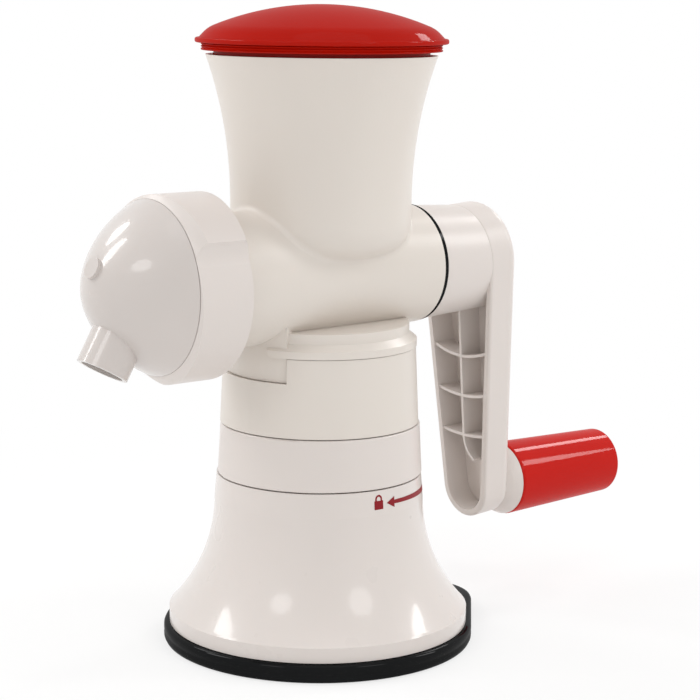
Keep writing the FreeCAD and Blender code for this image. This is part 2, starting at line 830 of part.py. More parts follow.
def hopper_body():
    """White head: foot spigot and flange, ground barrel with its front drum, and flared hopper."""
    barrel_front = s.bore_radius + s.barrel_wall + s.barrel_swell
    barrel_back = s.bore_radius + s.barrel_wall
    barrel = lying("barrel_outside", [
        corner(drum_front, 0),
        corner(drum_front, drum_radius),
        corner(drum_rear, drum_radius),
        corner(drum_rear + s.drum_shoulder, barrel_front),
        corner(s.barrel_rear, barrel_back),
        corner(s.barrel_rear, 0),
    ])
    place(barrel, z=axis_height, axis=(1, 0, 0), angle=180)
    lug_front = drum_front + s.lug_setback
    lugs = bayonet("drum_lug", lug_front, lug_front + s.lug_length,
                   drum_radius - s.drum_wall / 2, drum_lug_radius)
    bowl_foot = axis_height + s.bowl_foot_rise
    hopper = upright("hopper_outside", [
        corner(0, bowl_foot),
        corner(s.bowl_foot_radius, bowl_foot,
               tangent_arc(s.hopper_radius - s.bowl_foot_radius, s.bowl_rise - s.bowl_foot_rise, 1)),
        *hopper_side(),
        corner(0, rim_top),
    ])
    place(hopper, axis=(0, 0, 1), angle=90)
    hopper_room = upright("hopper_room", [corner(0, bowl_top), *hopper_side(), corner(0, rim_top)])
    place(hopper_room, axis=(0, 0, 1), angle=90)
    spigot_radius = s.collar_bore - s.seat_fit
    spigot_foot = collar_top - s.spigot_depth
    flange_foot = collar_top + s.rest_gap
    flange_top = flange_foot + s.flange_height
    spigot = upright("foot_spigot", rectangle(0, spigot_radius, spigot_foot, flange_top))
    skirt_foot = collar_top - s.notch_depth + s.rest_gap
    skirt_sweep = (s.notch_half_angle - s.skirt_gap) * 2
    skirt = new_body("foot_skirt")
    spin(skirt, rectangle(spigot_radius - s.foot_recess, s.skirt_radius, skirt_foot,
                          flange_top + s.skirt_rise), "V_Axis", angle=skirt_sweep)
    place(skirt, axis=(0, 0, 1), angle=180 - skirt_sweep / 2)
    flange = new_body("foot_flange")
    spin(flange, [
        corner(spigot_radius - s.foot_recess, flange_foot),
        corner(s.flange_radius, flange_foot),
        corner(s.flange_radius, flange_foot + s.flange_lip),
        corner(s.flange_radius - s.flange_slope, flange_top),
        corner(spigot_radius - s.foot_recess, flange_top),
    ], "V_Axis", angle=360 - s.flange_end_angle * 2)
    low = flange_foot.value + s.flange_lip.value / 2
    round_edges(flange, s.flange_end_round, lambda edge: is_radial(edge) and edge.BoundBox.ZMax < low)
    place(flange, axis=(0, 0, 1), angle=180 + s.flange_end_angle)
    tee = soften("head_tee", fuse("head_crossing", barrel, hopper), s.tee_round, hopper_seam)
    outside = fuse("head_outside", tee, spigot, skirt, flange, *lugs)

    bush_radius = s.shaft_radius + s.bush_wall + s.seat_fit
    bore = lying("barrel_inside", [
        corner(drum_front - s.seam, 0),
        corner(drum_front - s.seam, chamber_radius),
        corner(chamber_rear, chamber_radius),
        corner(chamber_rear, s.bore_radius),
        corner(bore_rear, s.bore_radius),
        corner(bore_rear, bush_radius),
        corner(s.barrel_rear + s.seam, bush_radius),
        corner(s.barrel_rear + s.seam, 0),
    ])
    hopper_bore = s.hopper_radius - s.hopper_wall
    throat_top = axis_height + s.throat_rise
    hollow = upright("hopper_inside", [
        corner(0, axis_height),
        corner(s.throat_radius, axis_height),
        corner(s.throat_radius, throat_top,
               tangent_arc(hopper_bore - s.throat_radius, s.bowl_rise - s.throat_rise, 1)),
        corner(hopper_bore, bowl_top),
        corner(0, bowl_top),
    ])
    cave_top = axis_height - s.bore_radius - s.foot_roof
    cave_radius = spigot_radius - s.foot_recess - s.spigot_wall
    cave = upright("foot_inside", rectangle(0, cave_radius, spigot_foot - s.seam, cave_top))
    hollowed = cut("head_hollowed", outside, fuse("head_inside", bore, hollow, cave, hopper_room))
    key = doc.addObject("Part::Box", "plate_key")
    bind(key, Length=s.plate_thickness - s.run_gap, Width=s.plate_key_width,
         Height=s.plate_key_height + s.drum_wall / 2)
    place(key, x=drum_front + s.run_gap, y=-(s.plate_key_width / 2),
          z=axis_height - chamber_radius - s.drum_wall / 2)
    return fuse("hopper_body", hollowed, key)


def hopper_side():
    """Outer side of the hopper from the bowl up: a straight throat, then a flare to the rim."""
    return [
        corner(s.hopper_radius, bowl_top),
        corner(s.hopper_radius, flare_start, tangent_arc(s.flare_out, s.flare_height, -1)),
        corner(s.hopper_radius + s.flare_out, rim_top),
    ]


def hopper_cup():
    """White flared hopper on the barrel's bowl, with a seat in its mouth and clear of the auger below."""
    bore = s.hopper_radius - s.hopper_wall
    seat_radius = s.plug_radius + s.mouth_fit
    seat_floor = rim_top - s.mouth_seat
    bend = (s.flare_out * s.flare_out + s.flare_height * s.flare_height) / (s.flare_out * 2)
    rise = s.flare_height - s.mouth_seat
    spread = bend - root(bend * bend - rise * rise)
    turned = upright("cup_turned", [
        *hopper_side(),
        corner(seat_radius, rim_top),
        corner(seat_radius, seat_floor),
        corner(bore + spread, seat_floor, Arc(bend, 1)),
        corner(bore, flare_start),
        corner(bore, bowl_top),
    ])
    end = s.hopper_radius + s.seam
    return cut("hopper_cup", turned, lying("auger_way", rectangle(-end, end, 0, s.bore_radius)))


def hopper_seam(edge):
    """Whether an edge is where the hopper's wall meets the barrel: the only ones that lie on no plane."""
    box = edge.BoundBox
    return min(box.XLength, box.YLength, box.ZLength) > s.seam.value


def rear_bush():
    """Flanged plain bush in the barrel's rear wall."""
    bore = s.shaft_radius + s.slide_fit
    sleeve = s.shaft_radius + s.bush_wall
    return lying("rear_bush", [
        corner(bush_face, bore),
        corner(s.barrel_rear, bore),
        corner(s.barrel_rear, sleeve),
        corner(bore_rear, sleeve),
        corner(bore_rear, sleeve + s.bush_flange),
        corner(bush_face, sleeve + s.bush_flange),
    ])


def thrust_washer():
    """Slippery washer between the auger and the bush."""
    inner = s.shaft_radius + s.slide_fit
    outer = s.shaft_radius + s.bush_wall + s.bush_flange
    return lying("thrust_washer", rectangle(auger_rear, auger_rear + s.washer_thickness, inner, outer))


def seal_ring():
    """Black ring between the barrel and the crank hub."""
    outer = s.bore_radius + s.barrel_wall - s.run_gap
    return lying("seal_ring", rectangle(s.barrel_rear, seal_rear, outer - s.seal_width, outer))


def square_sketch(body, width, offset):
    """A square about the barrel's axis, at a place along it."""
    half = size(width) / 2
    return draw(new_sketch(body, "YZ_Plane", offset=offset), rectangle(-half, half, -half, half))


def auger():
    """Feed screw: tapered core, left-hand flight, front square and pin, and rear socket."""
    pin_end = drum_front + s.run_gap
    body = lying("auger", [
        corner(pin_end, 0),
        corner(pin_end, s.auger_pin_radius),
        corner(knife_rear + s.run_gap, s.auger_pin_radius),
        corner(knife_rear + s.run_gap, s.auger_nose_radius),
        corner(auger_rear - s.auger_collar_length, s.auger_tail_radius),
        corner(auger_rear - s.auger_collar_length, s.auger_collar_radius),
        corner(auger_rear, s.auger_collar_radius),
        corner(auger_rear, 0),
    ])
    extrude(body, square_sketch(body, s.auger_square, knife_rear + s.run_gap),
            s.knife_thickness + s.run_gap / 2, reverse=True)
    tip_radius = s.bore_radius - s.flight_clearance
    middle = chamber_rear + s.flight_root
    root_radius = s.auger_nose_radius - s.seam
    profile = draw(new_sketch(body, "XZ_Plane"), [
        corner(middle - s.flight_root / 2, root_radius),
        corner(middle + s.flight_root / 2, root_radius),
        corner(middle + s.flight_tip / 2, tip_radius),
        corner(middle - s.flight_tip / 2, tip_radius),
    ])
    flight = body.newObject("PartDesign::AdditiveHelix", "auger_flight")
    flight.Profile = profile
    flight.ReferenceAxis = (profile, ["H_Axis"])
    flight.Mode = "pitch-turns-angle"
    flight.LeftHanded = True
    bind(flight, Pitch=s.flight_pitch, Turns=s.flight_turns)
    socket = square_sketch(body, s.tongue_square + s.seat_fit * 2, auger_rear)
    extrude(body, socket, s.tongue_length + s.run_gap, "Pocket")
    return body


def knife():
    """Cross-shaped steel knife on the auger's square."""
    body = place(new_body("knife"), z=axis_height)
    hub = new_sketch(body, "YZ_Plane", offset=knife_front)
    draw_circle(hub, 0, 0, s.knife_hub_radius)
    extrude(body, hub, s.knife_thickness)
    half = s.knife_blade_width / 2
    blade = draw(new_sketch(body, "YZ_Plane", offset=knife_front), [
        corner(-half, 0),
        corner(half, 0),
        corner(half, s.knife_reach - s.knife_tip_cut),
        corner(half - s.knife_tip_cut, s.knife_reach),
        corner(-half + s.knife_taper, s.knife_reach, Arc(s.knife_edge_curve, 1)),
    ])
    polar(body, extrude(body, blade, s.knife_thickness), "X_Axis", BLADES)
    hole = square_sketch(body, s.auger_square + s.seat_fit * 2, knife_rear)
    extrude(body, hole, s.knife_thickness + s.seam, "Pocket")
    return body


def grinding_plate():
    """Perforated steel disc, keyed to the drum, with the auger's pin in its middle."""
    body = place(new_body("grinding_plate"), z=axis_height)
    disc = new_sketch(body, "YZ_Plane", offset=drum_front)
    draw_circle(disc, 0, 0, s.plate_radius)
    extrude(body, disc, s.plate_thickness)
    middle = new_sketch(body, "YZ_Plane", offset=plate_rear)
    draw_circle(middle, 0, 0, s.auger_pin_radius + s.slide_fit)
    extrude(body, middle, s.plate_thickness + s.seam, "Pocket")
    half = s.plate_key_width / 2 + s.run_gap
    notch = rectangle(-half, half, -(s.plate_radius + s.seam),
                      -(s.plate_radius - s.plate_key_height - s.run_gap))
    extrude(body, draw(new_sketch(body, "YZ_Plane", offset=plate_rear), notch),
            s.plate_thickness + s.seam, "Pocket")
    rings = ((PLATE_INNER_HOLES, s.plate_inner_ring), (PLATE_OUTER_HOLES, s.plate_outer_ring))
    for count, ring_radius in rings:
        sketch = new_sketch(body, "YZ_Plane", offset=plate_rear)
        draw_circle(sketch, 0, ring_radius, s.plate_hole_radius)
        hole = extrude(body, sketch, s.plate_thickness + s.seam, "Pocket")
        polar(body, hole, "X_Axis", count)
    return body


def nozzle_gasket():
    """Thin ring between the drum and the spout cover."""
    return lying("nozzle_gasket", rectangle(neck_end, drum_front, chamber_radius + s.run_gap,
                                            drum_radius - s.run_gap))


def retaining_ring():
    """Hand ring with three ratchet lobes, a front lip and inner bayonet lugs."""
    lobes = place(new_body("ring_lobes"), z=axis_height)
    corners = []
    high = s.ring_low_radius + s.ring_lobe_rise
    middle = s.ring_low_radius + s.ring_lobe_rise / 2
    for index in range(LOBES):
        start = s.ring_step_angle + s.ring_step_sweep + 360 / LOBES * index
        end = s.ring_step_angle + 360 / LOBES * (index + 1)
        corners.append(at_clock(s.ring_low_radius, start, Arc(middle, 1)))
        corners.append(at_clock(high, end, Arc(s.ring_step_curve, -1)))
    sketch = draw(new_sketch(lobes, "YZ_Plane", offset=lip_front), corners)
    extrude(lobes, sketch, s.ring_length)

    lip_bore = s.neck_radius + s.run_gap
    turned = lying("ring_turned", [
        corner(lip_front, lip_bore),
        corner(lip_front, s.ring_low_radius,
               tangent_arc(s.ring_lobe_rise + s.ring_front_round, s.ring_front_run, -1)),
        corner(lip_front + s.ring_front_run, high + s.ring_front_round),
        corner(ring_rear - s.ring_rear_round, high + s.ring_front_round, Arc(s.ring_rear_round, -1)),
        corner(ring_rear, high + s.ring_front_round - s.ring_rear_round),
        corner(ring_rear, ring_bore),
        corner(lip_rear, ring_bore),
        corner(lip_rear, lip_bore),
    ])
    lug_left = drum_front + s.lug_setback + s.lug_length + s.run_gap
    lugs = bayonet("ring_lug", lug_left, lug_left + s.lug_length, ring_lug_radius,
                   ring_bore + s.run_gap)
    return fuse("retaining_ring", common("ring_shaped", lobes, turned), *lugs)


def at_clock(radius, angle, arc=None):
    """A corner on the YZ plane at an angle from the top towards -Y."""
    return corner(-(radius * sine(angle)), radius * cosine(angle), arc)


def nozzle_dome():
    """Glossy cover: rounded nose, slanted spout, round boss, and a neck that snaps in the ring."""
    bead_radius = s.neck_radius + s.bead_height
    neck_bore = s.neck_radius - s.dome_wall
    outside = lying("dome_outside", [
        *nose_profile(dome_seam, s.dome_radius, s.dome_length, s.dome_nose_radius),
        corner(dome_seam, s.neck_radius),
        corner(bead_front, s.neck_radius),
        corner(bead_front, bead_radius),
        corner(neck_end, bead_radius - s.bead_height / 2),
        corner(neck_end, 0),
    ])
    inner_seam = dome_seam - s.dome_wall
    inside = lying("dome_inside", [
        *nose_profile(inner_seam, s.dome_radius - s.dome_side_wall, s.dome_length - s.dome_wall * 2,
                      s.dome_nose_radius - s.dome_wall),
        corner(inner_seam, neck_bore),
        corner(neck_end + s.seam, neck_bore),
        corner(neck_end + s.seam, 0),
    ])
    aim = {
        "x": dome_seam - s.spout_root - s.spout_start * cosine(s.spout_angle),
        "z": axis_height - s.spout_start * sine(s.spout_angle),
        "axis": (0, -1, 0),
        "angle": 90 + s.spout_angle,
    }
    spout_length = s.spout_reach - s.spout_start
    spout = cylinder("spout_outside", s.spout_radius, spout_length, **aim)
    bore = cylinder("spout_bore", s.spout_radius - s.spout_wall, spout_length + s.seam, **aim)
    boss_depth = s.dome_wall
    boss_length = boss_depth + s.boss_proud
    nose = s.dome_nose_radius
    boss_ahead = s.dome_length - nose + root(nose * nose - s.boss_rise * s.boss_rise)
    boss = cylinder("dome_boss", s.boss_radius, boss_length,
                    x=dome_seam - boss_ahead + boss_depth * cosine(s.boss_tilt),
                    z=axis_height + s.boss_rise - boss_depth * sine(s.boss_tilt),
                    axis=(0, -1, 0), angle=90 - s.boss_tilt)
    whole = fuse("dome_whole", outside, spout, boss)
    return cut("nozzle_dome", whole, fuse("dome_hollow", inside, bore))


def nose_profile(seam, radius, length, nose):
    """A round nose arc that runs on, without a crease, into a flatter side arc up to the seam."""
    aside = nose * NOSE_SHARE
    ahead = length - nose + nose * root(size(1 - NOSE_SHARE ** 2))
    outward = radius - aside
    bend = ahead * root(size(1 - NOSE_SHARE ** 2)) - outward * NOSE_SHARE
    side = (ahead * ahead + outward * outward) / (bend * 2)
    return [
        corner(seam - length, 0, Arc(nose, -1)),
        corner(seam - ahead, aside, Arc(side, -1)),
        corner(seam, radius),
    ]


def crank_arm():
    """White crank: tapered hub, leaning ribbed arm and flared boss for the grip."""
    drop = (s.crank_throw + s.arm_thickness / 2 * sine(s.arm_lean)) / cosine(s.arm_lean)
    stance = {"x": s.arm_root, "z": axis_height, "axis": (0, -1, 0), "angle": s.arm_lean}
    slab = place(new_body("arm_slab"), **stance)
    outline = hanging(teardrop(s.arm_top_radius, s.arm_end_radius, drop))
    extrude(slab, draw(new_sketch(slab, "YZ_Plane"), outline), s.arm_thickness)
    outer_face = s.arm_thickness.value
    round_edges(slab, s.arm_edge_round, lambda edge: edge.BoundBox.XMin > outer_face - NEAR)
    round_edges(slab, s.arm_front_round, lambda edge: edge.BoundBox.XMax < NEAR)
    hub_back = s.arm_root + s.pocket_depth + s.seam
    hub = lying("crank_hub", [
        corner(hub_front, 0),
        corner(hub_front, s.hub_front_radius),
        corner(hub_back, s.arm_top_radius - s.hub_inset),
        corner(hub_back, 0),
    ])
    inner = hanging(teardrop(s.arm_top_radius - s.pocket_rim, s.arm_end_radius - s.pocket_rim, drop))
    pocket = place(new_body("arm_pocket"), **stance)
    extrude(pocket, draw(new_sketch(pocket, "YZ_Plane", offset=-s.seam), inner), s.pocket_depth + s.seam)
    rib_space = place(new_body("rib_space"), **stance)
    half_rim = s.pocket_rim / 2
    wider = hanging(teardrop(s.arm_top_radius - half_rim, s.arm_end_radius - half_rim, drop))
    extrude(rib_space, draw(new_sketch(rib_space, "YZ_Plane", offset=s.rib_setback), wider),
            s.pocket_depth - s.rib_setback + s.seam)
    boss_root = s.arm_root + (s.pocket_depth + s.seam) * cosine(s.arm_lean) + drop * sine(s.arm_lean)
    boss = place(new_body("grip_boss"), z=grip_height)
    spin(boss, [
        corner(boss_root, 0),
        corner(boss_root, s.arm_end_radius - s.arm_edge_round),
        corner(s.boss_face - s.axle_seat / 2, s.arm_end_radius, Arc(s.boss_flare_curve, -1)),
        corner(s.boss_face, s.boss_face_radius),
        corner(s.boss_face, 0),
    ], "H_Axis")
    ribs = common("arm_ribs", arm_rib_grid(), rib_space)
    solid = fuse("crank_solid", cut("arm_hollow", slab, pocket), ribs, hub, boss)
    socket = place(new_body("hub_socket"), z=axis_height)
    extrude(socket, square_sketch(socket, s.hub_square + s.seat_fit * 2, hub_front - s.seam),
            socket_end - hub_front + s.seam)
    recess = lying("screw_recess", [
        corner(hub_front, 0),
        corner(hub_front, s.crank_screw_radius + s.seat_fit),
        corner(recess_floor, s.crank_screw_radius + s.seat_fit),
        corner(recess_floor, s.crank_recess_radius),
        corner(s.boss_face, s.crank_recess_radius),
        corner(s.boss_face, 0),
    ])
    hole = place(new_body("axle_hole"), z=grip_height)
    spin(hole, rectangle(s.boss_face - s.axle_seat, s.boss_face + s.seam, 0, s.axle_radius + s.seat_fit),
         "H_Axis")
    return cut("crank_arm", solid, fuse("crank_holes", socket, recess, hole))


def arm_rib_grid():
    """Ribs of the arm's pocket: rings round the hub, and a middle spine with a hooked end."""
    far = s.arm_root + s.arm_thickness * 2
    rings = []
    for index in range(RIBS):
        middle = s.rib_first + s.rib_spacing * index
        near, away = middle - s.rib_width / 2, middle + s.rib_width / 2
        rings.append(lying("rib_ring", rectangle(s.arm_root, far, near, away)))
    last = s.rib_first + s.rib_spacing * (RIBS - 1)
    spine = doc.addObject("Part::Box", "rib_spine")
    bind(spine, Length=far - s.arm_root, Width=s.rib_width, Height=last)
    place(spine, x=s.arm_root, y=-(s.rib_width / 2), z=axis_height - last)
    hook = new_body("rib_hook")
    spin(hook, rectangle(s.arm_root, far, s.spine_hook_radius - s.rib_width / 2,
                         s.spine_hook_radius + s.rib_width / 2), "H_Axis", angle=s.spine_hook_sweep)
    place(hook, y=-s.spine_hook_radius, z=axis_height - last, axis=(1, 0, 0),
          angle=s.spine_hook_start)
    return fuse("rib_grid", spine, hook, *rings)


def crank_screw():
    """Pan-head screw that holds the crank on the shaft."""
    tip = shaft_end - s.crank_screw_depth
    return lying("crank_screw", [
        corner(tip, 0),
        corner(tip, s.crank_screw_radius),
        corner(recess_floor, s.crank_screw_radius),
        corner(recess_floor, s.crank_head_radius),
        corner(recess_floor + s.crank_head_height / 2, s.crank_head_radius,
               cap_arc(s.crank_head_radius, s.crank_head_height / 2, -1)),
        corner(recess_floor + s.crank_head_height, 0),
    ])


def drive_shaft():
    """Steel shaft: square tongue in the auger, journal in the bush, square in the hub."""
    body = lying("drive_shaft", rectangle(auger_rear, hub_front, 0, s.shaft_radius))
    extrude(body, square_sketch(body, s.tongue_square, auger_rear), s.tongue_length, reverse=True)
    extrude(body, square_sketch(body, s.hub_square, hub_front), s.hub_square_length)
    hole = new_sketch(body, "YZ_Plane", offset=shaft_end)
    draw_circle(hole, 0, 0, s.crank_screw_radius + s.seat_fit)
    extrude(body, hole, s.crank_screw_depth + s.seam, "Pocket")
    return body


def on_grip_axis(name, corners):
    """A turned body along the grip's axis."""
    body = place(new_body(name), z=grip_height)
    spin(body, corners, "H_Axis")
    return body


def grip_axle():
    """Steel axle pressed into the arm's boss."""
    end = well_floor + s.run_gap + s.clip_thickness + s.axle_stub
    return on_grip_axis("grip_axle", rectangle(s.boss_face - s.axle_seat, end, 0, s.axle_radius))


def grip_sleeve():
    """Red tapered sleeve that turns on the axle, with a well for its clip and cap."""
    bore = s.axle_radius + s.slide_fit
    well = s.grip_cap_radius + s.seat_fit
    r = s.grip_round
    return on_grip_axis("grip_sleeve", [
        corner(grip_start, bore),
        corner(grip_start, s.grip_inner_radius - r, Arc(r, -1)),
        corner(grip_start + r, s.grip_inner_radius),
        corner(grip_end - r, s.grip_outer_radius, Arc(r, -1)),
        corner(grip_end, s.grip_outer_radius - r),
        corner(grip_end, well),
        corner(well_floor, well),
        corner(well_floor, bore),
    ])


def grip_cap():
    """Red disc that closes the grip's end."""
    left = grip_end - s.grip_cap_length
    return on_grip_axis("grip_cap", rectangle(left, grip_end, 0, s.grip_cap_radius))


def grip_clip():
    """Push-on washer that keeps the grip on its axle."""
    left = well_floor + s.run_gap
    return on_grip_axis("grip_clip", rectangle(left, left + s.clip_thickness, s.axle_radius + s.seat_fit,
                                               s.clip_radius))


def pusher_levels():
    """Heights of the pusher's steps: band foot, brim foot, crown foot."""
    band = rim_top + s.plug_show
    brim = band + s.band_height
    return band, brim, brim + s.brim_height


def pusher_lid():
    """Glossy red lid with a brim, a stepped plug for the hopper's mouth and a hollow crown."""
    band, brim, crown = pusher_levels()
    shoulder = crown + s.crown_height
    top = shoulder + s.crown_rise
    plug_foot = rim_top - s.mouth_seat + s.mouth_fit
    inner_plug = s.plug_radius - s.plug_wall
    inner_crown = inner_plug - s.ledge_width
    inner_shoulder = shoulder - s.lid_wall / 2
    return upright("pusher_lid", [
        corner(inner_plug, plug_foot),
        corner(s.plug_radius, plug_foot),
        corner(s.plug_radius, band),
        corner(s.band_radius, band),
        corner(s.band_radius, brim),
        corner(s.brim_radius, brim),
        corner(s.brim_radius, crown),
        corner(s.crown_foot_radius, crown),
        corner(s.crown_radius, shoulder, cap_arc(s.crown_radius, s.crown_rise, 1)),
        corner(0, top),
        corner(0, top - s.lid_wall, cap_arc(inner_crown, top - s.lid_wall - inner_shoulder, -1)),
        corner(inner_crown, inner_shoulder),
        corner(inner_crown, brim),
        corner(inner_plug, brim),
    ])


def pusher_stem():
    """Closed red cup under the lid that presses the meat down the hopper."""
    band, brim, crown = pusher_levels()
    foot = rim_top - s.pusher_length
    flange_radius = s.plug_radius - s.plug_wall - s.seat_fit
    inner = s.pusher_radius - s.pusher_wall
    return upright("pusher_stem", [
        corner(0, foot),
        corner(s.pusher_radius - s.pusher_wall, foot, Arc(s.pusher_wall, 1)),
        corner(s.pusher_radius, foot + s.pusher_wall),
        corner(s.pusher_radius, brim - s.pusher_flange),
        corner(flange_radius, brim - s.pusher_flange),
        corner(flange_radius, brim),
        corner(inner, brim),
        corner(inner, foot + s.pusher_wall),
        corner(0, foot + s.pusher_wall),
    ])


PIECES = (
    suction_pad, base_shell, lift_stem, cross_pin, lock_ring, collar, collar_screws, hopper_body,
    hopper_cup, rear_bush, thrust_washer, seal_ring, auger, drive_shaft, knife, grinding_plate,
    nozzle_gasket, retaining_ring, nozzle_dome, crank_arm, crank_screw, grip_axle, grip_sleeve, grip_cap,
    grip_clip, pusher_lid, pusher_stem,
)

nodes = []
for make in PIECES:
    item = make()
    item.Label = make.__name__
    nodes.append(item)
doc.recompute()

for item in doc.Objects:
    if "Invalid" in item.State or "Error" in item.State:
        raise RuntimeError("%s didn't build: %s" % (item.Label, item.State))
for item in nodes:
    if item.Shape.isNull() or not item.Shape.isValid():
        raise RuntimeError("%s has no valid shape" % item.Label)

os.makedirs("parts", exist_ok=True)
for item in nodes:
    item.Shape.exportStep("parts/%s.step" % item.Label)
    box = item.Shape.BoundBox
    print("%-16s solids %d volume %9.0f x %7.1f..%6.1f z %6.1f..%6.1f" % (
        item.Label, len(item.Shape.Solids), item.Shape.Volume, box.XMin, box.XMax, box.ZMin, box.ZMax))
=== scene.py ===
"""Dresses the hand crank meat grinder: moulded plastics, rubber foot, steel grinding set and lock sign.

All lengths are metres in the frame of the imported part: the origin is the middle of the suction pad on
the worktop, +Z is up and +X runs along the barrel from the spout to the crank.
"""

import logging
import math
from dataclasses import dataclass
from enum import Enum
from typing import Sequence

import bmesh
import bpy
from mathutils import Matrix, Vector


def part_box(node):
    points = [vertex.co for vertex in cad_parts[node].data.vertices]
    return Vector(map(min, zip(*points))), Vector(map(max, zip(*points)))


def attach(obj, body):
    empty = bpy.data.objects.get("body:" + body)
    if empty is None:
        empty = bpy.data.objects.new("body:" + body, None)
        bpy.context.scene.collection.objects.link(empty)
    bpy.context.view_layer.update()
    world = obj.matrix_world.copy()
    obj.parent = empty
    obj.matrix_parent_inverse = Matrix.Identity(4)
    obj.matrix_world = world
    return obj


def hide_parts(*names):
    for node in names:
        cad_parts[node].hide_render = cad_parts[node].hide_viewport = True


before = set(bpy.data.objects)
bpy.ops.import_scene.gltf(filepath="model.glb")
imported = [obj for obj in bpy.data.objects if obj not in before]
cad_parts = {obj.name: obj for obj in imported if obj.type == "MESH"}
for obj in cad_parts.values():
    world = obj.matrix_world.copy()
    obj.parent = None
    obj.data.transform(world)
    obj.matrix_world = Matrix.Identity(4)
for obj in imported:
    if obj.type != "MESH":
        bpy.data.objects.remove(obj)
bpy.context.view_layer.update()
LOG = logging.getLogger("grinder")
MM = 0.001
# Edges that turn by more than this are shaded sharp.
SHARP_ANGLE = math.radians(40.0)
# Points nearer to each other than this, in metres, become one.
WELD = 1e-7
# The range that most values of a noise fall in.
NOISE_RANGE = (0.3, 0.7)
# Scale of the coordinates that draws brushed grain out along Y.
BRUSHED_SCALE = (1.0, 0.06, 1.0)

Colour = tuple[float, float, float]
Point = tuple[float, float]
Term = bpy.types.NodeSocket | float


class Surface(Enum):
    """How a finish carries its grain."""

    MOULDED = "fine even grain of an injection mould"
    BRUSHED = "fine lines drawn out across the barrel"
    PRINTED = "flat ink with no relief"


